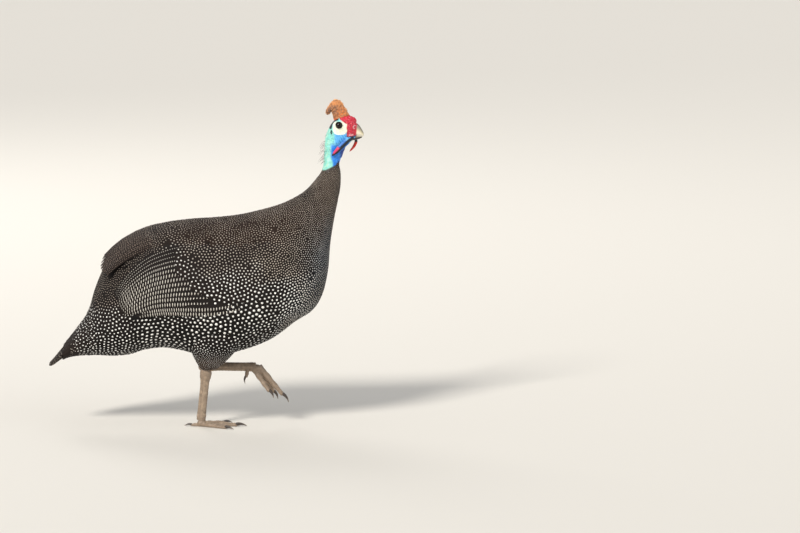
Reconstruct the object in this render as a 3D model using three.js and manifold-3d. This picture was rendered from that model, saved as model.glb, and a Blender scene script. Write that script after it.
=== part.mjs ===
// Life-size helmeted guineafowl, walking: the right foot planted, the left foot lifted and swung forward.
// Millimetres, +Z up, bill towards +X, the bird's left towards +Y.
// The origin lies in the sole of the right foot.
import * as THREE from "three";
import { mergeVertices } from "three/addons/utils/BufferGeometryUtils.js";
import Module from "manifold-3d";

const wasm = await Module();
wasm.setup();

// Driving sizes
const gap = 0.32; // between neighbouring pieces
const midline = 5; // the body's middle plane stands this far to the left of the planted foot
const bodySides = 24;

// Rungs across the trunk, neck and head, in side view, from the tip of the tail to the forehead:
// back x and z, belly or throat x and z, half width, and how much wider the back half is than the front half.
const bodyRungs = [
  [-208, 83.5, -205.5, 82, 7, 0],
  [-200, 93.5, -197, 85.5, 20, 0],
  [-185, 113, -182, 94.5, 30, 0],
  [-168.8, 133.6, -163, 98, 37, 0],
  [-153, 156.7, -141, 98.5, 43, 0],
  [-142.5, 189.5, -119.5, 97.5, 50, 0],
  [-129, 220, -97, 99.5, 59, 0],
  [-110, 248, -76, 106, 68, 0.02],
  [-80, 268.5, -52, 109, 75, 0.04],
  [-50, 277, -30, 106, 78, 0.04],
  [-14, 282, -8, 101, 79, 0.03],
  [22, 284.5, 22, 99, 79, 0.02],
  [55, 288.5, 56, 105.5, 78, 0],
  [86, 295.8, 95, 121, 75, -0.03],
  [107, 302, 127, 144.5, 70, -0.06],
  [122, 308.8, 150.5, 160, 63, -0.08],
  [134, 315.5, 164, 182, 55, -0.09],
  [143, 322.5, 171.5, 215, 46, -0.08],
  [150, 330, 174.5, 250, 36.5, -0.06],
  [156.5, 338, 179.5, 282, 28, -0.03],
  [161.5, 344.5, 184.5, 307, 21.5, 0],
  [164.6, 352, 188, 326, 16.5, 0],
  [165.8, 360, 188.5, 344, 13, 0],
  [166.3, 368, 187, 357, 11.6, 0],
  [166.8, 377, 191, 368, 11.3, 0.05],
  [167.2, 386, 196, 381, 11.8, 0.12],
  [168.4, 395, 203, 388, 12.3, 0.2],
  [171.5, 403.5, 209, 392.5, 12.6, 0.28],
  [176, 412, 211.4, 399, 12.6, 0.3],
  [183, 419.5, 211.6, 406.5, 11.4, 0.26],
  [192, 423, 209.4, 414, 8.8, 0.15],
  [200, 423.6, 206.4, 419.4, 5, 0],
];
const seamTail = 6; // rung where the tail is parted from the trunk
const bareNeckBack = [168, 349]; // edge of the feathers on the nape, x and z
const bareNeckFront = [189, 357.5]; // edge of the feathers on the throat
const headSeamBack = [167, 384.5];
const headSeamFront = [196, 382];

// The folded wing lies between these rungs and angles round the trunk, measured from the middle of the back.
const wingRear = 8.3;
const wingFront = 14.1;
const wingTop = 34;
const wingBottom = 108;
const wingSunk = 8;
const wingProud = 0.6;

// Feather tiers of a wing and of the tail: how many, the root's rung, the tip's rung, angles of the first and
// last root and of the first and last tip, half width, and how far root and tip stand over the outline.
const featherThick = 0.6;
const featherTilt = 0.9; // how far each feather's outer edge stands over its neighbour
const wingTiers = {
  primaries: {
    count: 3, root: [9.4, 9.1], tip: [6.75, 7.9], from: [97, 104],
    to: [94, 111], wide: 6.5, lift: [-1, 2.2],
  },
  secondaries: {
    count: 7, root: [9.6, 9.8], tip: [6.15, 7.35], from: [47, 97],
    to: [43, 101], wide: 7.8, lift: [-1, 3.2],
  },
  greaterCoverts: {
    count: 6, root: [11.3, 11.2], tip: [9.1, 8.9], from: [44, 98],
    to: [42, 101], wide: 9, lift: [-2, 2.9],
  },
  medianCoverts: {
    count: 5, root: [12.7, 12.6], tip: [10.7, 10.5], from: [48, 96],
    to: [46, 100], wide: 10, lift: [-2, 2.9],
  },
  lesserCoverts: {
    count: 5, root: [14, 13.9], tip: [12.2, 12], from: [53, 90],
    to: [47, 97], wide: 9.6, lift: [-2, 2.6],
  },
  tertials: {
    count: 4, root: [9.2, 9.2], tip: [5.45, 6.1], from: [41, 51],
    to: [10, 38], wide: 7.6, lift: [-1.2, 8],
  },
};
// The tail's tiers run right round both sides: the first value of each pair is for the middle,
// the second for the sides.
const tailTiers = {
  rectrices: {
    count: 13, root: [4, 4.4], tip: [0.15, 1.5],
    reach: [110, 118], wide: 7.4, lift: [-6, -0.3],
  },
  upperCoverts: {
    count: 7, root: [5.6, 5.6], tip: [2.4, 3.2],
    reach: [102, 96], wide: 11, lift: [-6, 0.8],
  },
  rumpCoverts: {
    count: 5, root: [5.9, 5.9], tip: [4, 4.3],
    reach: [56, 50], wide: 9.6, lift: [-6, 1.1],
  },
  underCoverts: {
    count: 5, root: [5.6, 5.6], tip: [2.2, 3], reach: [56, 44],
    wide: 9, lift: [-6, 0.2], middle: 180,
  },
};
const tailCore = { from: 3, sunk: 2.6 };

const forehead = { at: [201.6, midline, 415.2], radii: [8.6, 6.8, 7] };
const eyeAt = [187.1, 7.7, 410.8];
const eyeRadius = 6.4;
const orbit = [8.8, 2.6, 7.8]; // radii of the raised skin round the eye
const lid = [6.5, 2.7, 6.1]; // radii of the lids, which the socket opens
const orbitOut = 10.4; // how far out from the middle plane their middles stand
const lidOut = 10.9;
const earAt = [176.6, 12.2, 401.6];
const nostrilAt = [208.6, 5.6, 408];
const mouth = { at: [204.5, 8.6, 395.3], radii: [8.5, 2.6, 0.55], turn: 24 };

// Casque: rear x and z, front x and z, half width
const casqueRungs = [
  [181, 415, 204, 415, 6.6],
  [178.6, 422, 200.8, 422, 5.9],
  [176.5, 427, 199, 427, 5.4],
  [172, 431, 196.8, 431.5, 5.1],
  [172, 436, 194, 436, 4.6],
  [174, 440, 191.6, 440, 4],
  [178, 443.6, 188.6, 443.6, 2.9],
  [181, 445.3, 185, 445.3, 1.1],
];
const billUpperRungs = [
  [199, 416, 199, 395.6, 7],
  [207, 414, 206, 395.6, 5.8],
  [212.6, 411, 211.4, 395.7, 4.6],
  [217, 405, 215.8, 395.9, 3.3],
  [219.7, 399.4, 218.5, 394.8, 2.1],
  [220.3, 395.2, 219.5, 392.9, 0.9],
];
const billLowerRungs = [
  [199, 395.2, 199, 389.6, 5.4],
  [206, 395.2, 206, 389.6, 4.5],
  [212, 395.2, 212, 390.8, 3.4],
  [216.2, 395, 216, 392.3, 2.2],
  [217.9, 394.6, 217.8, 393.5, 1],
];

// Legs: back x and z, front x and z, half width, taper, and how far out from the middle plane
const thighRungs = [
  [-12, 150, 66, 150, 25, 0, 40],
  [-13, 124, 56, 124, 23, 0, 36],
  [-11, 106, 45, 106, 19, 0, 30],
  [-6, 93, 33.5, 93, 14, 0, 24],
  [-1.5, 84, 24, 84, 10, 0, 18],
  [1, 80.6, 19.5, 80.6, 7.6, 0, 16],
];
const hock = [6.5, -10, 77];
const ankle = [-1, 0, 9];
const tarsusDeep = 5.5;
const tarsusWide = 4.1;
const hockSwell = 1.55;
const ballRadius = 5.8;
const ballHigh = 5.9;
const liftedHock = [2, midline + 17, 79];
const liftedAnkle = [73, midline + 11, 79];
const liftedPitch = 48; // degrees that the lifted toes hang down
const liftedHindPitch = -75; // the hind toe's own pitch before it is turned back

// Toes: turn in degrees, length, claw length, height and half width at the root
const toes = {
  inner: [33, 37, 11, 8.4, 4.1],
  middle: [0, 48, 13, 9, 4.4],
  outer: [-31, 40, 11, 8.4, 4.1],
  hind: [172, 15, 9, 6.4, 3.2],
};

const clawRoot = 2; // how far a claw starts inside its toe
const clawArch = 1.2;
const clawDrop = 1.6;

const rad = THREE.MathUtils.degToRad;
const vec = (x, y, z) => new THREE.Vector3(x, y, z);

// A closed solid from points and triangles. Faces that point inwards are turned round.
function solidFrom(points, triangles) {
  const positions = new Float32Array(points.flatMap((p) => [p.x, p.y, p.z]));
  const build = (triVerts) =>
    new wasm.Manifold(new wasm.Mesh({ numProp: 3, vertProperties: positions, triVerts }));
  const made = build(new Uint32Array(triangles.flat()));
  if (made.volume() > 0) return made;
  return build(new Uint32Array(triangles.flatMap(([a, b, c]) => [a, c, b])));
}

// A three.js geometry as a solid, placed by a matrix.
function solidOf(geometry, matrix = new THREE.Matrix4()) {
  const bare = new THREE.BufferGeometry().setAttribute("position", geometry.getAttribute("position").clone());
  if (geometry.index) bare.setIndex(geometry.index.clone());
  const merged = mergeVertices(bare.applyMatrix4(matrix), 1e-4);
  const triVerts = new Uint32Array(merged.index.array);
  return new wasm.Manifold(
    new wasm.Mesh({
      numProp: 3,
      vertProperties: new Float32Array(merged.attributes.position.array),
      triVerts,
    }),
  );
}

// An ellipsoid with its own turn, for bulbs and hollows.
function ellipsoid(at, radii, turn = [0, 0, 0], detail = 12) {
  const matrix = new THREE.Matrix4().compose(
    vec(...at),
    new THREE.Quaternion().setFromEuler(new THREE.Euler(...turn.map(rad))),
    vec(...radii),
  );
  return solidOf(new THREE.SphereGeometry(1, detail, Math.round(detail * 0.6)), matrix);
}

// A skin over a row of rings with the same number of points, closed at both ends by a fan to its middle.
function loft(rings) {
  const sides = rings[0].length;
  const points = rings.flat();
  const triangles = [];
  for (let i = 0; i + 1 < rings.length; i++)
    for (let j = 0; j < sides; j++) {
      const a = i * sides + j;
      const b = i * sides + ((j + 1) % sides);
      triangles.push([a, b, b + sides], [a, b + sides, a + sides]);
    }
  for (const [first, flip] of [[0, true], [(rings.length - 1) * sides, false]]) {
    const sum = points.slice(first, first + sides).reduce((s, p) => s.add(p), vec(0, 0, 0));
    const middle = points.push(sum.divideScalar(sides)) - 1;
    for (let j = 0; j < sides; j++) {
      const a = first + j;
      const b = first + ((j + 1) % sides);
      triangles.push(flip ? [middle, b, a] : [middle, a, b]);
    }
  }
  return solidFrom(points, triangles);
}

// A surface over rungs: each ring is an oval whose long axis is the rung, so its side view follows them.
class RungSurface {
  constructor(rungs, y = 0) {
    const line = (pick) => new THREE.CatmullRomCurve3(rungs.map(pick), false, "catmullrom", 0.5);
    this.last = rungs.length - 1;
    this.back = line((r) => vec(r[0], y + (r[6] ?? 0), r[1]));
    this.front = line((r) => vec(r[2], y + (r[6] ?? 0), r[3]));
    this.girth = line((r) => vec(r[4], r[5] ?? 0, 0));
  }
  // The point at a rung and an angle in degrees from the back, moved outwards by grow.
  point(rung, angle, grow = 0) {
    const t = rung / this.last;
    const back = this.back.getPoint(t);
    const front = this.front.getPoint(t);
    const girth = this.girth.getPoint(t);
    const axis = back.clone().sub(front);
    const half = axis.length() / 2;
    axis.normalize();
    const c = Math.cos(rad(angle));
    const s = Math.sin(rad(angle));
    const centre = back.add(front).multiplyScalar(0.5);
    return centre
      .addScaledVector(axis, (half + grow) * c)
      .add(vec(0, -(girth.x + grow) * s * (1 + girth.y * c), 0));
  }
  ring(rung, grow = 0, sides = bodySides) {
    return Array.from({ length: sides }, (_, j) => this.point(rung, (j * 360) / sides, grow));
  }
  solid(from, to, step, grow = 0, sides = bodySides) {
    const count = Math.round((to - from) / step);
    const at = (i) => from + ((to - from) * i) / count;
    return loft(Array.from({ length: count + 1 }, (_, i) => this.ring(at(i), grow, sides)));
  }
}

// Keeps what lies on the far side of the line a-b in side view, set back by half a gap. Side is 1 or -1.
function parted(solid, a, b, side) {
  const normal = vec(b[1] - a[1], 0, a[0] - b[0]).normalize().multiplyScalar(side);
  return solid.trimByPlane([normal.x, 0, normal.z], normal.x * a[0] + normal.z * a[1] + gap / 2);
}

// Keeps only the largest closed surface of a solid.
function largest(solid) {
  return solid.decompose().sort((a, b) => b.volume() - a.volume())[0];
}

const body = new RungSurface(bodyRungs, midline);
const lastRung = bodyRungs.length - 1;
const seamRung = bodyRungs[seamTail];
const tailLine = [[seamRung[0], seamRung[1]], [seamRung[2], seamRung[3]]];

// A shell patch of the trunk on one side (side is 1 right, -1 left): between two rungs and two angles,
// from a depth under the surface to a height over it, grown by grow all round.
function wingPatch(side, low, high, grow) {
  const rows = 9;
  const columns = 5;
  const points = [];
  const index = (layer, i, j) => (layer * (rows + 1) + i) * (columns + 1) + j;
  for (const lift of [low, high])
    for (let i = 0; i <= rows; i++)
      for (let j = 0; j <= columns; j++) {
        const u = i / rows;
        const v = j / columns;
        const rung = THREE.MathUtils.lerp(wingRear - grow * 0.04, wingFront + grow * 0.04, u);
        const round = Math.sqrt(Math.max(0, 1 - (2 * u - 1) ** 4));
        const middle = (wingTop + wingBottom) / 2 + 6 * (1 - u) - 4;
        const half = ((wingBottom - wingTop) / 2) * (0.35 + 0.65 * round) + grow * 0.8;
        points.push(body.point(rung, side * (middle + half * (2 * v - 1)), lift));
      }
  const triangles = [];
  const quad = (a, b, c, d) => triangles.push([a, b, c], [a, c, d]);
  for (let i = 0; i < rows; i++)
    for (let j = 0; j < columns; j++) {
      quad(index(0, i, j), index(0, i + 1, j), index(0, i + 1, j + 1), index(0, i, j + 1));
      quad(index(1, i, j), index(1, i, j + 1), index(1, i + 1, j + 1), index(1, i + 1, j));
    }
  for (let i = 0; i < rows; i++) {
    quad(index(0, i + 1, 0), index(0, i, 0), index(1, i, 0), index(1, i + 1, 0));
    quad(index(0, i, columns), index(0, i + 1, columns), index(1, i + 1, columns), index(1, i, columns));
  }
  for (let j = 0; j < columns; j++) {
    quad(index(0, 0, j), index(0, 0, j + 1), index(1, 0, j + 1), index(1, 0, j));
    quad(index(0, rows, j + 1), index(0, rows, j), index(1, rows, j), index(1, rows, j + 1));
  }
  return solidFrom(points, triangles);
}

// One feather over the trunk from root to tip, both given as rung and angle: a flat blade that is widest
// past its middle, with one edge raised over its neighbour. Both faces are split into triangles alike.
function feather(root, tip, wide, lift, tilt, grow = 0) {
  const stations = [
    [0, 0.55, 1],
    [0.42, 1, 1],
    [0.86, 0.86, 1],
    [1, 0.34, 0.8],
  ];
  const at = (t) => {
    const height = THREE.MathUtils.lerp(lift[0], lift[1], t ** 0.6);
    const rung = THREE.MathUtils.lerp(root[0], tip[0], t);
    const angle = THREE.MathUtils.lerp(root[1], tip[1], t);
    return [body.point(rung, angle, height), body.point(rung, angle, height + 1)];
  };
  const points = [];
  for (const [t, spread, thickness] of stations) {
    const [centre, above] = at(t);
    const along = at(Math.min(1, t + 0.02))[0].sub(at(Math.max(0, t - 0.02))[0]).normalize();
    const out = above.sub(centre);
    out.addScaledVector(along, -out.dot(along)).normalize();
    const across = out.clone().cross(along);
    if (grow && t === 1) centre.addScaledVector(along, grow);
    for (const [u, v] of [[-1, 1], [1, 1], [1, -1], [-1, -1]])
      points.push(
        centre
          .clone()
          .addScaledVector(across, u * (wide * spread + grow))
          .addScaledVector(out, v * ((featherThick * thickness) / 2 + grow) + u * tilt * spread),
      );
  }
  const triangles = [[0, 1, 2], [0, 2, 3]];
  for (let i = 0; i < (stations.length - 1) * 4; i += 4)
    triangles.push(
      [i, i + 4, i + 5],
      [i, i + 5, i + 1],
      [i + 3, i + 6, i + 7],
      [i + 3, i + 2, i + 6],
      [i + 1, i + 5, i + 6],
      [i + 1, i + 6, i + 2],
      [i, i + 7, i + 4],
      [i, i + 3, i + 7],
    );
  const end = (stations.length - 1) * 4;
  triangles.push([end, end + 2, end + 1], [end, end + 3, end + 2]);
  return solidFrom(points, triangles);
}

// A wing's row of feathers, from the top one down, on the right (side 1) or the left (side -1).
function wingTier({ count, root, tip, from, to, wide, lift }, side, grow = 0) {
  const lerp = THREE.MathUtils.lerp;
  return Array.from({ length: count }, (_, i) => {
    const u = i / (count - 1);
    const start = [lerp(...root, u), side * lerp(...from, u)];
    const end = [lerp(...tip, u), side * lerp(...to, u)];
    return feather(start, end, wide, lift, side * featherTilt, grow);
  });
}

// A tail's row of feathers, spread evenly to both sides of its middle one, which lies on top.
function tailTier({ count, root, tip, reach, wide, lift, middle = 0 }) {
  const lerp = THREE.MathUtils.lerp;
  return Array.from({ length: count }, (_, i) => {
    const u = (2 * i) / (count - 1) - 1;
    const start = [lerp(...root, u * u), middle + u * reach[0]];
    const end = [lerp(...tip, u * u), middle + u * reach[1]];
    return feather(start, end, wide, lift, u < 0 ? -featherTilt : featherTilt);
  });
}

function wingCore(side) {
  return wingPatch(side, -wingSunk, 12, 0).intersect(body.solid(seamTail - 1, 17, 1, wingProud));
}

function wing(side) {
  const feathers = Object.values(wingTiers).flatMap((row) => wingTier(row, side));
  const made = wasm.Manifold.union([wingCore(side), ...feathers]);
  const trunk = body.solid(4, 17, 1, gap).subtract(wingPatch(side, -wingSunk, 12, 0));
  return largest(made.subtract(trunk));
}

function torso() {
  let trunk = parted(body.solid(seamTail - 1, 23, 1), ...tailLine, -1);
  trunk = trunk.subtract(parted(body.solid(20, 24, 0.5, 4), bareNeckBack, bareNeckFront, -1));
  for (const side of [1, -1]) trunk = trunk.subtract(wingPatch(side, -wingSunk - gap, 12, gap));
  return largest(trunk);
}

function tail() {
  const core = parted(body.solid(tailCore.from, seamTail + 1, 1, -tailCore.sunk), ...tailLine, 1);
  const feathers = Object.values(tailTiers).flatMap(tailTier);
  const made = parted(wasm.Manifold.union([core, ...feathers]), ...tailLine, 1);
  const over = [1, -1].flatMap((side) =>
    ["tertials", "secondaries"].flatMap((name) => wingTier(wingTiers[name], side, gap)),
  );
  return largest(made.subtract(wasm.Manifold.union(over)));
}

function neck() {
  let made = body.solid(21, 27, 1, 0, 20);
  made = parted(made, bareNeckBack, bareNeckFront, -1);
  return parted(made, headSeamBack, headSeamFront, 1);
}

// The head without its hollows, also used grown by the gap to trim what meets it.
function headForm(grow = 0) {
  let made = body.solid(24, lastRung, 0.7, grow, 20);
  made = parted(made, headSeamBack, headSeamFront, -1);
  return made.add(ellipsoid(forehead.at, forehead.radii.map((r) => r + grow), [0, 0, 0], 10));
}

const mirrored = (at, side) => [at[0], midline - side * at[1], at[2]];

function head() {
  let made = headForm();
  for (const side of [1, -1]) {
    const beside = (out) => [eyeAt[0], midline - side * out, eyeAt[2]];
    made = made.add(ellipsoid(beside(orbitOut), orbit, [0, 0, side * 4], 12));
    made = made.add(ellipsoid(beside(lidOut), lid, [0, 0, side * 3], 12));
    made = made.subtract(ellipsoid(mirrored(eyeAt, side), Array(3).fill(eyeRadius + gap), [0, 0, 0], 14));
    made = made.subtract(ellipsoid(mirrored(earAt, side), [1.3, 2.2, 2], [0, 0, 0], 8));
    made = made.subtract(ellipsoid(mirrored(nostrilAt, side), [2.2, 1.6, 1.1], [0, 25, 0], 8));
    const slit = [mouth.at[0], midline - side * mouth.at[1], mouth.at[2]];
    made = made.subtract(ellipsoid(slit, mouth.radii, [0, 0, side * mouth.turn], 8));
  }
  return largest(made);
}

function eye(side) {
  return ellipsoid(mirrored(eyeAt, side), Array(3).fill(eyeRadius), [0, 0, 0], 12);
}

function casque() {
  const horn = new RungSurface(casqueRungs, midline).solid(0, casqueRungs.length - 1, 1, 0, 12);
  const lobe = ellipsoid([173.4, midline, 430.6], [4, 4.3, 7.2], [0, 29, 0], 10);
  return largest(horn.add(lobe).subtract(headForm(gap)));
}

function billUpper() {
  const made = new RungSurface(billUpperRungs, midline).solid(0, billUpperRungs.length - 1, 1, 0, 12);
  return largest(made.subtract(headForm(gap)));
}

const billLowerForm = (grow) =>
  new RungSurface(billLowerRungs, midline).solid(0, billLowerRungs.length - 1, 1, grow, 10);

function billLower() {
  return largest(billLowerForm(0).subtract(headForm(gap)));
}

// A limb whose rings stand square to a curve: radii are functions of the way along, 0 to 1.
function limb(points, deep, wide, steps, sides, grow = 0) {
  const curve = new THREE.CatmullRomCurve3(points, false, "centripetal");
  const rings = [];
  for (let i = 0; i <= steps; i++) {
    const t = i / steps;
    const at = curve.getPoint(t);
    const along = curve.getTangent(t);
    const across = vec(0, 1, 0).addScaledVector(along, -along.y).normalize();
    const out = across.clone().cross(along).normalize();
    rings.push(
      Array.from({ length: sides }, (_, j) => {
        const a = (j * 2 * Math.PI) / sides;
        return at
          .clone()
          .addScaledVector(out, (deep(t) + grow) * Math.cos(a))
          .addScaledVector(across, (wide(t) + grow) * Math.sin(a));
      }),
    );
  }
  return loft(rings);
}

const bump = (t, at, width) => Math.exp(-(((t - at) / width) ** 2));

// Right and left wattles are flat lobes that hang from the corner of the mouth.
function wattle(points, width, thick) {
  const shape = (t) => Math.sin(Math.PI * Math.min(1, 0.12 + 0.86 * t)) ** 0.6;
  const made = limb(points, (t) => width * shape(t), (t) => thick * (0.55 + 0.45 * shape(t)), 7, 8);
  const neighbours = [headForm(gap), body.solid(22, 27, 1, gap, 20), billLowerForm(gap)];
  return largest(made.subtract(wasm.Manifold.union(neighbours)));
}

function thigh(side) {
  const rungs = thighRungs.map((r) => [...r.slice(0, 6), -side * r[6]]);
  const made = new RungSurface(rungs, midline).solid(0, rungs.length - 1, 1, 0, 14);
  const ends = side === 1 ? [hock, ankle] : [liftedHock, liftedAnkle];
  const shank = tarsus(vec(...ends[0]), vec(...ends[1]), gap);
  return largest(made.subtract(body.solid(8, 15, 0.5, gap)).subtract(shank));
}

function tarsus(top, bottom, grow = 0) {
  const middle = top.clone().lerp(bottom, 0.5);
  const swell = (t) => 1 + (hockSwell - 1) * bump(t, 0.06, 0.09) + 0.16 * bump(t, 1, 0.12);
  return limb([top, middle, bottom], (t) => tarsusDeep * swell(t), (t) => tarsusWide * swell(t), 8, 9, grow);
}

// One toe along +X from the ball of the foot, sole down at z = 0, then turned and placed by the matrix.
function toe([, length, , high, wide], matrix, grow = 0) {
  const steps = 6;
  const rings = [];
  for (let i = 0; i <= steps; i++) {
    const t = i / steps;
    const taper = 1 - 0.42 * t;
    const pads = t === 1 ? 0.68 : 1 + 0.1 * Math.cos(t * 3 * 2 * Math.PI);
    const half = (high / 2) * taper * pads + grow;
    const side = wide * taper * pads + grow;
    const centre = vec(length * t + (t === 1 ? grow : 0), 0, (high / 2) * taper - 0.9);
    rings.push(
      Array.from({ length: 8 }, (_, j) => {
        const a = ((j + 0.5) * 2 * Math.PI) / 8;
        return centre.clone().add(vec(0, side * Math.sin(a), half * Math.cos(a))).applyMatrix4(matrix);
      }),
    );
  }
  return loft(rings);
}

function claw([, length, clawLength, high, wide], matrix) {
  const steps = 4;
  const rings = [];
  for (let i = 0; i <= steps; i++) {
    const t = i / steps;
    const size = 1 - 0.86 * t;
    const height = high * 0.29 + clawArch * Math.sin(Math.PI * t) - clawDrop * t * t;
    const centre = vec(length - clawRoot + (clawLength + clawRoot) * t, 0, height);
    rings.push(
      Array.from({ length: 6 }, (_, j) => {
        const a = (j * 2 * Math.PI) / 6;
        const ring = vec(0, wide * 0.5 * size * Math.sin(a), high * 0.28 * size * Math.cos(a));
        return centre.clone().add(ring).applyMatrix4(matrix);
      }),
    );
  }
  return loft(rings);
}

// A foot: the shank with its ball, four toes and their claws.
function foot(side, top, bottom, frames, spread, flat) {
  const solids = {};
  const name = side === 1 ? "right" : "left";
  const cut = (s) => (flat ? s.trimByPlane([0, 0, 1], 0) : s);
  const ballAt = vec(0, 0, 0).applyMatrix4(frames.middle).lerp(bottom, 0.5);
  const ballRadii = [ballRadius, ballRadius * 0.95, ballHigh];
  const ball = (grow) => ellipsoid(ballAt.toArray(), ballRadii.map((r) => r + grow), [0, 0, 0], 10);
  const shank = (grow) => tarsus(top, bottom, grow).add(ball(grow));
  solids["tarsus_" + name] = cut(shank(0));
  const before = [shank(gap)];
  for (const key of ["middle", "inner", "outer", "hind"]) {
    const size = toes[key];
    const turn = key === "hind" ? size[0] : size[0] * spread;
    const matrix = frames[key].clone().multiply(new THREE.Matrix4().makeRotationZ(rad(side * turn)));
    let made = toe(size, matrix);
    for (const other of before) made = made.subtract(other);
    const grown = toe(size, matrix, gap);
    before.push(grown);
    solids["toe_" + name + "_" + key] = largest(cut(made));
    solids["claw_" + name + "_" + key] = largest(cut(claw(size, matrix).subtract(grown)));
  }
  return solids;
}

function colour(hex, roughness, metalness = 0) {
  return new THREE.MeshStandardMaterial({ color: hex, roughness, metalness });
}
const plumage = colour(0x3b3a3c, 0.75);
const skinBlue = colour(0x2f9fd0, 0.55);
const skinPale = colour(0xd9e6e0, 0.55);
const wattleBlue = colour(0x2f86c0, 0.5);
const horn = colour(0xb5713a, 0.6);
const billHorn = colour(0x9a8a72, 0.45);
const legGrey = colour(0x7d7264, 0.65);
const clawDark = colour(0x3d352e, 0.5);
const eyeDark = colour(0x1c1410, 0.08);

const guineafowl = new THREE.Group();

function place(name, solid, material) {
  const mesh = solid.getMesh();
  const count = mesh.numProp;
  const positions = new Float32Array(mesh.numVert * 3);
  for (let i = 0; i < mesh.numVert; i++)
    positions.set(mesh.vertProperties.subarray(i * count, i * count + 3), i * 3);
  const geometry = new THREE.BufferGeometry()
    .setAttribute("position", new THREE.BufferAttribute(positions, 3))
    .setIndex(new THREE.BufferAttribute(new Uint32Array(mesh.triVerts), 1));
  geometry.computeVertexNormals();
  const node = new THREE.Mesh(geometry, material);
  node.name = name;
  guineafowl.add(node);
}

place("torso", torso(), plumage);
place("tail", tail(), plumage);
place("wing_right", wing(1), plumage);
place("wing_left", wing(-1), plumage);
place("neck", neck(), skinBlue);
place("head", head(), skinPale);
place("casque", casque(), horn);
place("bill_upper", billUpper(), billHorn);
place("bill_lower", billLower(), billHorn);
place("eye_right", eye(1), eyeDark);
place("eye_left", eye(-1), eyeDark);
const rightWattle = [
  vec(206, midline - 5, 396),
  vec(198, midline - 12.4, 388),
  vec(187, midline - 15.4, 377),
  vec(177, midline - 14.6, 369.6),
];
const leftWattle = [
  vec(206, midline + 4, 397),
  vec(209.5, midline + 8.5, 388),
  vec(206.5, midline + 10.5, 380),
  vec(200.5, midline + 9, 373.2),
];
place("wattle_right", wattle(rightWattle, 5.6, 1.9), wattleBlue);
place("wattle_left", wattle(leftWattle, 3.4, 2.2), wattleBlue);
place("thigh_right", thigh(1), plumage);
place("thigh_left", thigh(-1), plumage);

const planted = new THREE.Matrix4();
const pitched = (x, z, pitch) => {
  const [atX, atY, atZ] = liftedAnkle;
  return new THREE.Matrix4().makeRotationY(rad(pitch)).setPosition(atX + x, atY, atZ + z);
};
const plantedFrames = { middle: planted, inner: planted, outer: planted, hind: planted };
const liftedFrames = {
  middle: pitched(3, -4, liftedPitch),
  inner: pitched(-5, -5, liftedPitch + 4),
  outer: pitched(1, -5, liftedPitch + 8),
  hind: pitched(-8, 0, liftedHindPitch),
};
for (const [name, solid] of Object.entries({
  ...foot(1, vec(...hock), vec(...ankle), plantedFrames, 1, true),
  ...foot(-1, vec(...liftedHock), vec(...liftedAnkle), liftedFrames, 0.4, false),
}))
  place(name, solid, name.startsWith("claw") ? clawDark : legGrey);

export default guineafowl;
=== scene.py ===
"""Life-size helmeted guineafowl, walking, dressed as a museum model: skin, feathers, spots, horn, eyes and scales.

Metres in Blender, millimetres in the tables below. Bill towards +X, the bird's left towards +Y, +Z up.
"""

import math

import bmesh
import bpy
import numpy as np
from bpy.props import FloatProperty, FloatVectorProperty, PointerProperty
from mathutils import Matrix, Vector


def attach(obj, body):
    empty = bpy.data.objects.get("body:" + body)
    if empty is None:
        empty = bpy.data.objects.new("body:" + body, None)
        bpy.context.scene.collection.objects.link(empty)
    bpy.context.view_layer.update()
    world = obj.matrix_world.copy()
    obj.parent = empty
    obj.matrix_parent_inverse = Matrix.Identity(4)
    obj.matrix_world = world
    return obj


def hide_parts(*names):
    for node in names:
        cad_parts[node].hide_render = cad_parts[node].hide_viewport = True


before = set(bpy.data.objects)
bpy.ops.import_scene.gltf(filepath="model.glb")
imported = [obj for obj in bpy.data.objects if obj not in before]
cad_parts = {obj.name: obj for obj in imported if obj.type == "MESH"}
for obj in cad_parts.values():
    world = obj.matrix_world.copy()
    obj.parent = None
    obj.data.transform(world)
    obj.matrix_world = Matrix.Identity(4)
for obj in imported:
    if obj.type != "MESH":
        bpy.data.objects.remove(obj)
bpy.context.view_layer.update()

bl_info = {
    "name": "Helmeted guineafowl",
    "version": (1, 0, 0),
    "blender": (4, 5, 0),
    "location": "View3D > Sidebar > Guineafowl",
    "description": "Dresses the packed guineafowl with skin, feathers, spots, horn and scales",
    "category": "Object",
}

MM = 0.001
MIDLINE = 5.0  # the body's middle plane, left of the planted foot

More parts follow.
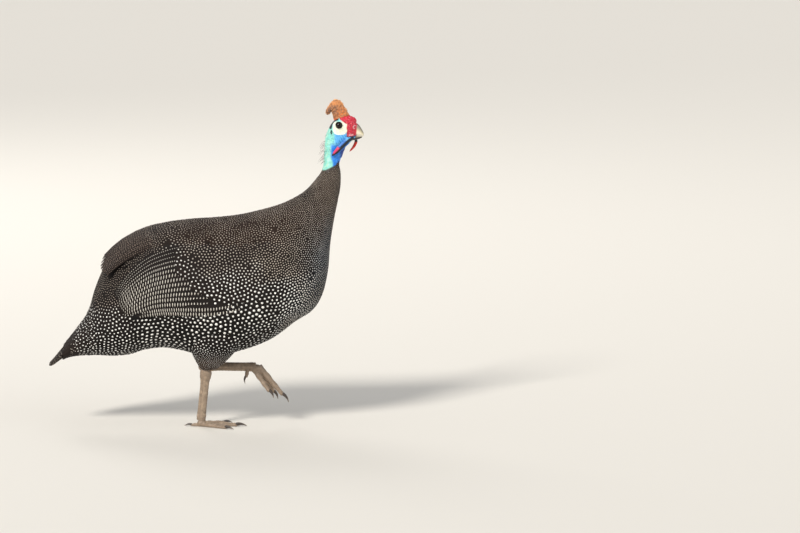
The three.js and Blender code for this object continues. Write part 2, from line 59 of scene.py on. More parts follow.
# Rungs across the trunk, neck and head in side view, from the tail's tip to the forehead:
# back x and z, belly or throat x and z, half width, and how much wider the back half is.
BODY_RUNGS = np.array([
    (-208, 83.5, -205.5, 82, 7, 0),
    (-200, 93.5, -197, 85.5, 20, 0),
    (-185, 113, -182, 94.5, 30, 0),
    (-168.8, 133.6, -163, 98, 37, 0),
    (-153, 156.7, -141, 98.5, 43, 0),
    (-142.5, 189.5, -119.5, 97.5, 50, 0),
    (-129, 220, -97, 99.5, 59, 0),
    (-110, 248, -76, 106, 68, 0.02),
    (-80, 268.5, -52, 109, 75, 0.04),
    (-50, 277, -30, 106, 78, 0.04),
    (-14, 282, -8, 101, 79, 0.03),
    (22, 284.5, 22, 99, 79, 0.02),
    (55, 288.5, 56, 105.5, 78, 0),
    (86, 295.8, 95, 121, 75, -0.03),
    (107, 302, 127, 144.5, 70, -0.06),
    (122, 308.8, 150.5, 160, 63, -0.08),
    (134, 315.5, 164, 182, 55, -0.09),
    (143, 322.5, 171.5, 215, 46, -0.08),
    (150, 330, 174.5, 250, 36.5, -0.06),
    (156.5, 338, 179.5, 282, 28, -0.03),
    (161.5, 344.5, 184.5, 307, 21.5, 0),
    (164.6, 352, 188, 326, 16.5, 0),
    (165.8, 360, 188.5, 344, 13, 0),
    (166.3, 368, 187, 357, 11.6, 0),
    (166.8, 377, 191, 368, 11.3, 0.05),
    (167.2, 386, 196, 381, 11.8, 0.12),
    (168.4, 395, 203, 388, 12.3, 0.2),
    (171.5, 403.5, 209, 392.5, 12.6, 0.28),
    (176, 412, 211.4, 399, 12.6, 0.3),
    (183, 419.5, 211.6, 406.5, 11.4, 0.26),
    (192, 423, 209.4, 414, 8.8, 0.15),
    (200, 423.6, 206.4, 419.4, 5, 0),
])
LAST_RUNG = len(BODY_RUNGS) - 1
NECK_RUNG = 21.0  # the trunk's skin ends inside the neck's here
BARE_BACK = (166.7, 350.0)  # edge of the feathers on the nape, x and z
BARE_FRONT = (188.7, 360.5)  # and on the throat

FOREHEAD = ((201.6, 415.2), (8.6, 6.8, 7.0))
EYE_AT = (187.1, 7.7, 410.8)  # x, out from the middle plane, z
EYE_RADIUS = 6.4
EYE_OPEN = 4.25  # radius of the gap between the lids
EAR_AT = (176.6, 401.6)
NOSTRIL_AT = (208.6, 408.0)


def curve_through(rows, t):
    """Smooth curve through rows of numbers: cubic between rows i and i+1, each end sloping as the rows beside it."""
    padded = np.vstack([2 * rows[0] - rows[1], rows, 2 * rows[-1] - rows[-2]])
    t = np.clip(np.asarray(t, float), 0, len(rows) - 1)
    i = np.minimum(t.astype(int), len(rows) - 2)
    u = (t - i)[..., None]
    before, start, end, after = (padded[i + k] for k in range(4))
    leave, reach = (end - before) / 2, (after - start) / 2
    return (
        start
        + leave * u
        + (3 * (end - start) - 2 * leave - reach) * u**2
        + (2 * (start - end) + leave + reach) * u**3
    )


def oval(rows, angle, lift=0.0, middle=MIDLINE):
    """Point on an oval whose long axis is the rung: centre + axis (half + lift) cos + side (girth + lift) sin."""
    back, front, girth, taper = rows[..., 0:2], rows[..., 2:4], rows[..., 4], rows[..., 5]
    span = back - front
    length = np.linalg.norm(span, axis=-1)
    c, s = np.cos(np.radians(angle)), np.sin(np.radians(angle))
    side = (back + front) / 2 + span / length[..., None] * ((length / 2 + lift) * c)[..., None]
    return np.stack([side[..., 0], middle - (girth + lift) * s * (1 + taper * c), side[..., 1]], -1)


def on_body(rung, angle, lift=0.0):
    """Point of the trunk, neck or head at a rung and an angle in degrees from the back, right side positive."""
    return oval(curve_through(BODY_RUNGS, rung), angle, lift)


def unit(v):
    """Vectors divided by their length."""
    return v / np.maximum(np.linalg.norm(v, axis=-1, keepdims=True), 1e-9)


def steps_over(surface, last, way_out=1):
    """For a surface of rungs, a function of place: its steps per rung and per degree, and the outward unit normal.

    The steps are central differences, and the normal is their cross product, turned by way_out."""
    small = 0.01

    def steps(rung, angle):
        inside = np.clip(rung, small, last - small)
        along = (surface(inside + small, angle) - surface(inside - small, angle)) / (2 * small)
        around = (surface(inside, angle + small) - surface(inside, angle - small)) / (2 * small)
        return along, around, way_out * unit(np.cross(around, along))

    return steps


body_steps = steps_over(on_body, LAST_RUNG)


def ease(x, start, end):
    """0 before start, 1 after end, smooth between."""
    t = np.clip((x - start) / (end - start), 0, 1)
    return t * t * (3 - 2 * t)


def bell(x, at, width):
    """1 at a place, falling off on both sides as exp(-(distance / width) squared)."""
    return np.exp(-(((x - at) / width) ** 2))


def linear(hex_colour):
    """sRGB hex colour as linear red, green, blue."""
    parts = np.array([int(hex_colour[i : i + 2], 16) for i in (1, 3, 5)]) / 255
    return np.where(parts <= 0.04045, parts / 12.92, ((parts + 0.055) / 1.055) ** 2.4)


def lump(points, seed, scale):
    """Soft irregular relief between about -1 and 1: a sum of twelve sine waves in drawn directions."""
    rng = np.random.default_rng(seed)
    ways = unit(rng.normal(size=(12, 3))) * rng.uniform(0.7, 1.6, (12, 1)) * (2 * np.pi / scale)
    phase = rng.uniform(0, 2 * np.pi, 12)
    return np.sin(points @ ways.T + phase).sum(-1) / 4.2


def feather_edge(x):
    """Height of the feathers' edge on the neck, which slants from nape to throat."""
    share = np.clip((x - BARE_BACK[0]) / (BARE_FRONT[0] - BARE_BACK[0]), 0, 1)
    return BARE_BACK[1] + (BARE_FRONT[1] - BARE_BACK[1]) * share


def make_mesh(name, points, faces, smooth=True):
    """A piece from points in millimetres and equal-sided faces, at the origin."""
    mesh = bpy.data.meshes.new(name)
    faces = np.asarray(faces, np.int32)
    sides = faces.shape[1]
    mesh.vertices.add(len(points))
    mesh.vertices.foreach_set("co", (np.asarray(points, np.float32) * MM).ravel())
    mesh.loops.add(faces.size)
    mesh.loops.foreach_set("vertex_index", faces.ravel())
    mesh.polygons.add(len(faces))
    mesh.polygons.foreach_set("loop_start", np.arange(0, faces.size, sides, dtype=np.int32))
    mesh.polygons.foreach_set("use_smooth", np.full(len(faces), smooth))
    mesh.update(calc_edges=True)
    mesh.validate()
    piece = bpy.data.objects.new(name, mesh)
    bpy.context.scene.collection.objects.link(piece)
    return piece


def tube_faces(rings, sides):
    """Quads of a tube of rings, each with the same number of points."""
    i, j = np.meshgrid(np.arange(rings - 1), np.arange(sides), indexing="ij")
    a, b = i * sides + j, i * sides + (j + 1) % sides
    return np.stack([a, b, b + sides, a + sides], -1).reshape(-1, 4)


def closed_tube(rings):
    """Points and triangles of a tube of rings (rows, sides, 3), each end closed by a fan to its middle."""
    rows, sides = rings.shape[:2]
    points = np.vstack([rings.reshape(-1, 3), rings[0].mean(0), rings[-1].mean(0)])
    quads = tube_faces(rows, sides)
    walls = np.vstack([quads[:, [0, 1, 2]], quads[:, [0, 2, 3]]])
    j = np.arange(sides)
    k = (j + 1) % sides
    first = np.stack([k, j, np.full(sides, rows * sides)], -1)
    base = (rows - 1) * sides
    last = np.stack([base + j, base + k, np.full(sides, rows * sides + 1)], -1)
    return points, np.vstack([walls, first, last])


def sweep(path, deep, wide, rings=40, sides=24, across=(0, 1, 0)):
    """A limb along a smooth path: ovals square to it, deep and wide given as functions of the way along."""
    t = np.linspace(0, 1, rings)
    path = np.array(path, float)
    at = curve_through(path, t * (len(path) - 1))
    along = unit(np.gradient(at, axis=0))
    side = unit(np.array(across, float) - along * (along @ np.array(across, float))[:, None])
    out = np.cross(side, along)
    a = np.linspace(0, 2 * np.pi, sides, endpoint=False)
    ring = (
        at[:, None]
        + out[:, None] * (np.cos(a)[:, None] * deep(t)[:, None, None])
        + side[:, None] * (np.sin(a)[:, None] * wide(t)[:, None, None])
    )
    return closed_tube(ring)


def joined(parts):
    """Several closed surfaces in one list of points and faces."""
    shift = np.cumsum([0] + [len(p) for p, _ in parts])
    return np.vstack([p for p, _ in parts]), np.vstack([f + s for (_, f), s in zip(parts, shift)])


def faced_out(piece):
    """Turns every face outwards."""
    work = bmesh.new()
    work.from_mesh(piece.data)
    bmesh.ops.recalc_face_normals(work, faces=work.faces)
    work.to_mesh(piece.data)
    work.free()
    return piece


def use_modifier(piece, kind, **settings):
    """Applies one modifier to a piece."""
    modifier = piece.modifiers.new(kind, kind)
    for key, value in settings.items():
        setattr(modifier, key, value)
    graph = bpy.context.evaluated_depsgraph_get()
    mesh = bpy.data.meshes.new_from_object(piece.evaluated_get(graph))
    piece.modifiers.clear()
    old = piece.data
    piece.data = mesh
    mesh.name = piece.name
    bpy.data.meshes.remove(old)
    return piece


def united(first, second):
    """Joins a second closed piece to the first."""
    use_modifier(first, "BOOLEAN", operation="UNION", solver="EXACT", object=second)
    bpy.data.objects.remove(second)
    return first


def points_of(piece):
    """A piece's points in millimetres."""
    flat = np.zeros(len(piece.data.vertices) * 3, np.float32)
    piece.data.vertices.foreach_get("co", flat)
    return flat.reshape(-1, 3).astype(float) / MM


def normals_of(piece):
    """A piece's outward unit normals, one for each point."""
    flat = np.zeros(len(piece.data.vertices) * 3, np.float32)
    piece.data.vertices.foreach_get("normal", flat)
    return flat.reshape(-1, 3).astype(float)


def move_points(piece, points):
    """Puts a piece's points, in millimetres, at new places."""
    piece.data.vertices.foreach_set("co", (points * MM).astype(np.float32).ravel())
    piece.data.update()


def paint(piece, colours, name="tint"):
    """Writes one linear colour for each point."""
    layer = piece.data.color_attributes.new(name, "FLOAT_COLOR", "POINT")
    opaque = np.hstack([colours, np.ones((len(colours), 1))])
    layer.data.foreach_set("color", opaque.astype(np.float32).ravel())


def map_points(piece, name, uv):
    """Writes a UV map from one pair for each point."""
    corners = np.zeros(len(piece.data.loops), np.int32)
    piece.data.loops.foreach_get("vertex_index", corners)
    layer = piece.data.uv_layers.new(name=name)
    layer.data.foreach_set("uv", uv[corners].astype(np.float32).ravel())


def settle(piece, material, slot, *nodes):
    """Gives a piece its material and body, and hides the nodes that it stands for. The slot is not used."""
    piece.data.materials.clear()
    piece.data.materials.append(material)
    piece.data.polygons.foreach_set("material_index", np.zeros(len(piece.data.polygons), np.int32))
    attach(piece, "root")
    if nodes:
        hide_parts(*nodes)
    return piece


# A vane's outline: way along, share of the full half width, share of the thickness.
CONTOUR_SHAPE = np.array([(0, 0.45, 0.6), (0.35, 0.85, 1), (0.66, 1, 1), (0.88, 0.84, 0.8), (1, 0.42, 0.4)])
LONG_SHAPE = np.array([
    (0, 0.45, 1), (0.15, 0.75, 1), (0.32, 0.95, 1), (0.5, 1, 1), (0.68, 1, 1), (0.84, 0.92, 0.9), (0.95, 0.72, 0.7),
    (1, 0.34, 0.4),
])
# Across a vane: edge, shaft side and edge on top, then the underside.
ACROSS = np.array([(-1, 0), (-0.5, 1), (0, 1), (0.5, 1), (1, 0), (0.5, -1), (0, -1), (-0.5, -1)])


class Vanes:
    """Feathers over a surface. Each is a blade from root to tip, laid along the surface by its steps per rung and per
    degree, so that it hugs the form; lift, cup and tilt raise it along the surface's normal."""

    def __init__(self, surface, steps, unwrap, rung, angle, length, width, way=0.0, low=0.0, high=2.0, cup=0.6,
                 tilt=0.3, droop=0.0, thick=0.3, bend=0.0):
        self.surface, self.steps, self.unwrap = surface, steps, unwrap
        self.rung, self.angle = np.asarray(rung, float), np.asarray(angle, float)
        count = len(self.rung)
        spread = lambda v: np.broadcast_to(np.asarray(v, float), (count,)).copy()
        self.length, self.width, self.way = spread(length), spread(width), spread(way)
        self.low, self.high, self.cup, self.tilt = spread(low), spread(high), spread(cup), spread(tilt)
        self.droop, self.thick, self.bend = spread(droop), spread(thick), spread(bend)
        along, around, normal = steps(self.rung, self.angle)
        back = -unit(along - normal * (along * normal).sum(-1, keepdims=True))
        across = np.cross(normal, back)
        turn = np.radians(self.way)[:, None]
        self.lie = back * np.cos(turn) + across * np.sin(turn)
        self.side = np.cross(normal, self.lie)
        self.along, self.around = along, around

    def place(self, index, s, y, raised):
        """Points of the vanes index at s of their length and y millimetres aside, raised along the normal."""
        x = (s * self.length[index])[..., None]
        y = np.asarray(y + self.bend[index] * s**2 * self.length[index])[..., None]
        v = self.lie[index] * x + self.side[index] * y
        a, b = self.along[index], self.around[index]
        aa, ab, bb = (a * a).sum(-1), (a * b).sum(-1), (b * b).sum(-1)
        va, vb = (v * a).sum(-1), (v * b).sum(-1)
        det = aa * bb - ab * ab
        rung = self.rung[index] + (va * bb - vb * ab) / det
        angle = self.angle[index] + (vb * aa - va * ab) / det
        return self.surface(rung, angle, raised)

    def height(self, index, s, across):
        """Rises from low to high with s to the power 0.75, droops with its fourth power, and is cupped and tilted
        across the vane."""
        rise = self.low[index] + (self.high[index] - self.low[index]) * np.maximum(s, 0) ** 0.75
        level = rise - self.droop[index] * s**4
        return level + self.cup[index] * (1 - across**2) + self.tilt[index] * across * s

    def mesh(self, shape):
        """Points and faces of all the vanes: rings of eight points along each, both ends closed."""
        n, rows, cols = len(self.rung), len(shape), len(ACROSS)
        index = np.arange(n)[:, None, None]
        s, wide, stout = (shape[:, k][None, :, None] for k in range(3))
        u, v = ACROSS[:, 0][None, None], ACROSS[:, 1][None, None]
        u, v, s = np.broadcast_to(u, (n, rows, cols)), v, np.broadcast_to(s, (n, rows, cols))
        raised = self.height(index, s, u) + v * stout * self.thick[index] / 2
        points = self.place(np.broadcast_to(index, (n, rows, cols)), s, u * wide * self.width[index], raised)
        quads = tube_faces(rows, cols)
        base = (rows - 1) * cols
        # Each end is closed by six triangles over its ring of eight points.
        root = np.array([[1, 7, 0], [2, 7, 1], [2, 6, 7], [3, 6, 2], [3, 5, 6], [4, 5, 3]])
        tip = root[:, ::-1] + base
        walls = np.vstack([quads[:, [0, 1, 2]], quads[:, [0, 2, 3]], root, tip])
        faces = (walls[None] + (np.arange(n) * rows * cols)[:, None, None]).reshape(-1, 3)
        uv = np.stack([u, s], -1).reshape(-1, 2)
        return points.reshape(-1, 3), faces, uv, np.repeat(np.arange(n), rows * cols)


def together(groups):
    """Several groups of vanes on one surface as one group."""
    names = ("rung", "angle", "length", "width", "way", "low", "high", "cup", "tilt", "droop", "thick", "bend")
    values = (np.concatenate([getattr(group, name) for group in groups]) for name in names)
    return Vanes(groups[0].surface, groups[0].steps, groups[0].unwrap, *values)




def nearest(at, others, count):
    """For each point the indices of the others nearest to it, in no order."""
    at, others = at.astype(np.float32), others.astype(np.float32)
    square = (others**2).sum(1)
    return np.vstack([
        np.argpartition(square - 2 * part @ others.T, count, axis=1)[:, :count].copy()
        for part in np.array_split(at, max(1, len(at) // 500))
    ])


def scatter(steps, surface, spacing, low, high, seed, rounds=24):
    """Evenly spread places: as many random ones as the area holds at that spacing, then pushed apart in rounds.

    Two places closer than their wanted distance push each other along the line between them by a share of what is
    missing. Low and high are the ranges of rung and angle."""
    drawn, fill, apart, share_pushed = 60000, 0.84, 0.56, 0.22
    rng = np.random.default_rng(seed)
    rung = rng.uniform(*low, drawn)
    angle = rng.uniform(*high, drawn)
    along, around, _ = steps(rung, angle)
    area = np.linalg.norm(np.cross(along, around), axis=1)
    share = area / spacing(rung, angle) ** 2 / fill
    total = share.mean() * (low[1] - low[0]) * (high[1] - high[0])
    keep = rng.choice(len(rung), int(round(total)), replace=False, p=share / share.sum())
    rung, angle = rung[keep], angle[keep]
    for turn in range(rounds):
        at = surface(rung, angle, 0.0)
        if turn % 4 == 0:
            near = nearest(at, at, 12)
        need = spacing(rung, angle)
        along, around, _ = steps(rung, angle)
        gap = at[:, None] - at[near]
        far = np.linalg.norm(gap, axis=-1) + 1e-6
        want = (need[:, None] + need[near]) * apart
        push = (gap * np.where(far < want, (want - far) / far, 0)[..., None]).sum(1) * share_pushed
        aa, ab, bb = (along**2).sum(-1), (along * around).sum(-1), (around**2).sum(-1)
        va, vb = (push * along).sum(-1), (push * around).sum(-1)
        det = aa * bb - ab * ab
        rung = np.clip(rung + (va * bb - vb * ab) / det, *low)
        angle = np.clip(angle + (vb * aa - va * ab) / det, *high)
    return rung, angle


SPOT_SIDES = 8
SPOT_LIFT = 0.1  # how far a spot's rim stands over its feather
SPOT_RISE = 0.1  # its middle over its rim
SPOT_DEPTH = 0.15  # its underside below its rim


def spots_on(vanes, owner, s, y, long_, wide, turn):
    """Pale spots: small closed lenses laid on their own feathers, each an ellipse long_ by wide about (s, y), turned by
    degrees; the last two of its points are its middles above and below."""
    sides = SPOT_SIDES
    a = np.linspace(0, 2 * np.pi, sides, endpoint=False)[None]
    c, k = np.cos(np.radians(turn))[:, None], np.sin(np.radians(turn))[:, None]
    x0, y0 = np.cos(a) * (long_ / 2)[:, None], np.sin(a) * (wide / 2)[:, None]
    middles = np.zeros((len(owner), 2))
    dx, dy = np.hstack([x0 * c - y0 * k, middles]), np.hstack([x0 * k + y0 * c, middles])
    index = np.broadcast_to(owner[:, None], dx.shape)
    ss = s[:, None] + dx / vanes.length[index]
    yy = y[:, None] + dy
    over = np.full(dx.shape, SPOT_LIFT)
    over[:, sides] += SPOT_RISE
    over[:, sides + 1] -= SPOT_DEPTH
    raised = vanes.height(index, ss, yy / vanes.width[index]) + vanes.thick[index] / 2 + over
    points = vanes.place(index, ss, yy, raised).reshape(-1, 3)
    j = np.arange(sides)
    n = (j + 1) % sides
    top, under = np.full(sides, sides), np.full(sides, sides + 1)
    one = np.vstack([np.stack([j, n, top], -1), np.stack([n, j, under], -1)])
    faces = (one[None] + (np.arange(len(owner)) * (sides + 2))[:, None, None]).reshape(-1, 3)
    return points, faces, np.repeat(owner, sides + 2)


BAKE_PATCH = 0.003


def bake_map(vanes, owner, local=None):
    """Bake map: each feather is a small patch at its root's place on the skin unrolled by rung and angle."""
    at = vanes.unwrap(vanes.rung, vanes.angle)[owner]
    local = np.zeros((len(owner), 2)) if local is None else local * (0.5, 1) - (0, 0.5)
    return np.clip(at + local * BAKE_PATCH, 0.001, 0.999)


def body_unwrap(rung, angle):
    """The skin of trunk and neck unrolled: angle across and rung up, in the lower part of the bake map."""
    return np.stack([0.5 + angle / 370, 0.02 + 0.75 * rung / LAST_RUNG], -1)


def feather_piece(name, parts, material, slot="plumage"):
    """One piece of several groups of vanes, with their tints and the maps of barbs and bake."""
    made = [(v, *v.mesh(shape), tint) for v, shape, tint in parts]
    points, faces = joined([(m[1], m[2]) for m in made])
    piece = make_mesh(name, points, faces)
    paint(piece, np.vstack([tint[owner] for _, _, _, _, owner, tint in made]))
    size = np.vstack([np.stack([v.width[o], v.length[o]], -1) for v, _, _, _, o, _ in made])
    map_points(piece, "Barbs", np.vstack([m[3] for m in made]) * size * MM)
    map_points(piece, "OFBake", np.vstack([bake_map(m[0], m[4], m[3]) for m in made]))
    piece.data.set_sharp_from_angle(angle=math.radians(75))
    return settle(piece, material, slot)


def varied(hex_colour, count, rng):
    """One colour for each vane, a little lighter or darker."""
    return np.tile(linear(hex_colour), (count, 1)) * rng.uniform(0.85, 1.15, (count, 1))


def spot_piece(name, parts, material, slot="plumage"):
    """One piece of several groups of spots, each spot tinted by its place or by its group's own colour."""
    made = [(v, *spots) for v, spots, _ in parts]
    points, faces = joined([(m[1], m[2]) for m in made])
    piece = make_mesh(name, points, faces)
    tints = []
    for (_, at, _, _), (_, _, shade) in zip(made, parts):
        middles = at.reshape(-1, SPOT_SIDES + 2, 3).mean(1)
        tint = spot_colours(middles) if shade is None else np.tile(linear(shade), (len(middles), 1))
        tints.append(np.repeat(tint, SPOT_SIDES + 2, axis=0))
    paint(piece, np.vstack(tints))
    map_points(piece, "OFBake", np.vstack([bake_map(m[0], m[3]) for m in made]))
    return settle(piece, material, slot)


def spot_grid(vanes, across, along, pitch, size, rng):
    """Spots in a grid of across by along near each feather's tip, pitch apart, with a little play; the rows bend
    towards the tip beside the shaft, and what would pass the root is dropped."""
    i, j = np.meshgrid(np.arange(across) - (across - 1) / 2, np.arange(along), indexing="ij")
    count = len(vanes.rung)
    owner = np.repeat(np.arange(count), i.size)
    i, j = np.tile(i.ravel(), count), np.tile(j.ravel(), count)
    play = rng.normal(0, 0.09, (2, len(owner)))
    y = (i + play[0]) * pitch
    s = 1 - (0.62 + j + play[1] - 0.1 * np.abs(i)) * pitch / vanes.length[owner]
    kept = s > 0.04
    owner, y, s = owner[kept], y[kept], s[kept]
    long_ = size * rng.uniform(0.82, 1.12, len(owner))
    return spots_on(vanes, owner, s, y, long_, long_ * rng.uniform(0.85, 1.05, len(owner)),
                    rng.uniform(-12, 12, len(owner)))


def add_node(tree, kind, links=(), inputs=(), **settings):
    """Adds a node with its settings, its fixed inputs and the sockets that feed it."""
    node = tree.nodes.new(kind)
    for key, value in settings.items():
        setattr(node, key, value)
    for socket, value in dict(inputs).items():
        node.inputs[socket].default_value = value
    for socket, source in dict(links).items():
        tree.links.new(source, node.inputs[socket])
    return node


def new_material(name, **inputs):
    """A material with one Principled shader whose fixed values are on its own sockets."""
    material = bpy.data.materials.new(name)
    material.use_nodes = True
    tree = material.node_tree
    shader = tree.nodes["Principled BSDF"]
    for socket, value in inputs.items():
        shader.inputs[socket.replace("_", " ")].default_value = value
    return material, tree, shader


def colour4(hex_colour):
    """Hex colour as a linear colour with alpha 1."""
    return (*linear(hex_colour), 1.0)


def bump(tree, shader, height, distance, strength):
    """Relief from a height of 0 to 1, its full depth in metres."""
    node = add_node(tree, "ShaderNodeBump", {"Height": height}, {"Distance": distance, "Strength": strength})
    tree.links.new(node.outputs["Normal"], shader.inputs["Normal"])
    return node


def mix(tree, first, second, factor, kind="MULTIPLY"):
    """Mixes two colours by a factor; each may be a socket or a fixed value. Sockets 0, 6 and 7 are the node's factor
    and its two colours."""
    node = add_node(tree, "ShaderNodeMix", data_type="RGBA", blend_type=kind)
    for socket, source in ((0, factor), (6, first), (7, second)):
        if isinstance(source, bpy.types.NodeSocket):
            tree.links.new(source, node.inputs[socket])
        else:
            node.inputs[socket].default_value = source
    return node.outputs[2]


def feather_material():
    """Feather vane: matt keratin with fine slanting barbs; light and dark come from the piece's own tint."""
    material, tree, shader = new_material("feather_keratin", Roughness=0.7, IOR=1.54, Specular_IOR_Level=0.14)
    tint = add_node(tree, "ShaderNodeAttribute", attribute_name="tint")
    barbs = add_node(tree, "ShaderNodeUVMap", uv_map="Barbs")
    place = add_node(tree, "ShaderNodeSeparateXYZ", {"Vector": barbs.outputs["UV"]})
    aside = add_node(tree, "ShaderNodeMath", {0: place.outputs["X"]}, operation="ABSOLUTE")
    slant = add_node(tree, "ShaderNodeMath", {0: aside.outputs[0], 2: place.outputs["Y"]}, {1: -1.1},
                     operation="MULTIPLY_ADD")
    # Real barbs stand 0.3 mm apart, too fine to show, so they are drawn 0.9 mm apart.
    turns = add_node(tree, "ShaderNodeMath", {0: slant.outputs[0]}, {1: 2 * math.pi / 0.0009}, operation="MULTIPLY")
    wave = add_node(tree, "ShaderNodeMath", {0: turns.outputs[0]}, operation="SINE")
    shade = add_node(tree, "ShaderNodeMapRange", {"Value": wave.outputs[0]},
                     {"From Min": -1.0, "From Max": 1.0, "To Min": 0.72, "To Max": 1.18})
    tree.links.new(mix(tree, tint.outputs["Color"], shade.outputs[0], 1.0), shader.inputs["Base Color"])
    bump(tree, shader, wave.outputs[0], 0.00012, 0.5)
    return material


def pearl_material():
    """White of a feather spot: keratin without its dark grain, tinted by place and faintly clouded."""
    material, tree, shader = new_material("feather_white", Roughness=0.55, IOR=1.54, Specular_IOR_Level=0.3)
    tint = add_node(tree, "ShaderNodeAttribute", attribute_name="tint")
    where = add_node(tree, "ShaderNodeTexCoord")
    # The cloud is 4 mm across, so that neighbouring spots differ.
    noise = add_node(tree, "ShaderNodeTexNoise", {"Vector": where.outputs["Object"]}, {"Scale": 250.0, "Detail": 2.0})
    shade = add_node(tree, "ShaderNodeMapRange", {"Value": noise.outputs["Fac"]},
                     {"From Min": 0.35, "From Max": 0.65, "To Min": 0.82, "To Max": 1.06})
    tree.links.new(mix(tree, tint.outputs["Color"], shade.outputs[0], 1.0), shader.inputs["Base Color"])
    return material


def skin_material():
    """Bare and covered skin: thin skin over flesh, slightly waxy, finely creased; spotted where feathers grow."""
    material, tree, shader = new_material("bird_skin", Roughness=0.46, Subsurface_Weight=0.06, Subsurface_Scale=0.0008)
    shader.inputs["Subsurface Radius"].default_value = (1.0, 0.5, 0.3)
    tint = add_node(tree, "ShaderNodeAttribute", attribute_name="tint")
    covered = add_node(tree, "ShaderNodeAttribute", attribute_name="covered")
    where = add_node(tree, "ShaderNodeTexCoord")
    # Skin papillae stand about 0.7 mm apart.
    cells = add_node(tree, "ShaderNodeTexVoronoi", {"Vector": where.outputs["Object"]}, {"Scale": 1400.0})
    cloud = add_node(tree, "ShaderNodeTexNoise", {"Vector": where.outputs["Object"]}, {"Scale": 420.0, "Detail": 4.0})
    shade = add_node(tree, "ShaderNodeMapRange", {"Value": cloud.outputs["Fac"]},
                     {"From Min": 0.3, "From Max": 0.7, "To Min": 0.82, "To Max": 1.12})
    ground = mix(tree, tint.outputs["Color"], shade.outputs[0], 1.0)
    # The coat's spots, about 5 mm apart, repeat on the skin below it.
    spots = add_node(tree, "ShaderNodeTexVoronoi", {"Vector": where.outputs["Object"]},
                     {"Scale": 200.0, "Randomness": 0.5})
    inside = add_node(tree, "ShaderNodeMapRange", {"Value": spots.outputs["Distance"]},
                      {"From Min": 0.2, "From Max": 0.3, "To Min": 1.0, "To Max": 0.0})
    spotted = add_node(tree, "ShaderNodeMath", {0: inside.outputs[0], 1: covered.outputs["Fac"]}, operation="MULTIPLY")
    tree.links.new(mix(tree, ground, colour4("#d2c6b8"), spotted.outputs[0], "MIX"), shader.inputs["Base Color"])
    bump(tree, shader, cells.outputs["Distance"], 0.00025, 0.5)
    return material


def horn_material(name, scale, roughness, depth, dark, light):
    """Horn: layered keratin, its tint clouded darker and lighter, with growth lumps and pits."""
    material, tree, shader = new_material(name, Roughness=roughness, IOR=1.54)
    tint = add_node(tree, "ShaderNodeAttribute", attribute_name="tint")
    where = add_node(tree, "ShaderNodeTexCoord")
    cloud = add_node(tree, "ShaderNodeTexNoise", {"Vector": where.outputs["Object"]},
                     {"Scale": scale, "Detail": 8.0, "Roughness": 0.62})
    pits = add_node(tree, "ShaderNodeTexVoronoi", {"Vector": where.outputs["Object"]}, {"Scale": scale * 2.4},
                    feature="DISTANCE_TO_EDGE")
    shade = add_node(tree, "ShaderNodeMapRange", {"Value": cloud.outputs["Fac"]},
                     {"From Min": 0.33, "From Max": 0.67, "To Min": dark, "To Max": light})
    tree.links.new(mix(tree, tint.outputs["Color"], shade.outputs[0], 1.0), shader.inputs["Base Color"])
    both = add_node(tree, "ShaderNodeMath", {0: cloud.outputs["Fac"], 1: pits.outputs["Distance"]}, operation="ADD")
    bump(tree, shader, both.outputs[0], depth, 0.6)
    return material


def eye_material():
    """Eye: dark brown iris and black pupil under a wet clear cornea."""
    material, tree, shader = new_material("wet_eye", Roughness=0.05, IOR=1.376)
    tint = add_node(tree, "ShaderNodeAttribute", attribute_name="tint")
    tree.links.new(tint.outputs["Color"], shader.inputs["Base Color"])
    return material


class Coats:
    """Layers of colour over points: each lay() puts one hex colour over the last by a mask from 0 to 1."""

    def __init__(self, hex_colour, count):
        self.rgb = np.tile(linear(hex_colour), (count, 1))

    def lay(self, hex_colour, mask):
        self.rgb = self.rgb * (1 - mask[:, None]) + linear(hex_colour) * mask[:, None]


def beside(at, path):
    """Way along a path, 0 to 1, and distance above it in side view, from the nearest of a hundred of its points."""
    line = curve_through(np.array(path, float), np.linspace(0, len(path) - 1, 100))[:, [0, 2]]
    ahead = unit(np.gradient(line, axis=0))
    gap = at[:, None, [0, 2]].astype(np.float32) - line[None].astype(np.float32)
    near = (gap**2).sum(-1).argmin(1)
    gap, ahead = gap[np.arange(len(at)), near], ahead[near]
    return near / 99, gap[:, 1] * -ahead[:, 0] + gap[:, 0] * ahead[:, 1]


BROW_LINE = [(175.4, 0, 407), (176.6, 0, 411.8), (178.6, 0, 415), (181.4, 0, 417.4), (184.6, 0, 419)]  # black feathers


def from_line(at, path):
    """Distance from a path in side view, from the nearest of a hundred of its points."""
    line = curve_through(np.array(path, float), np.linspace(0, len(path) - 1, 100))[:, [0, 2]]
    return np.sqrt(((at[:, None, [0, 2]] - line[None]) ** 2).sum(-1).min(1))


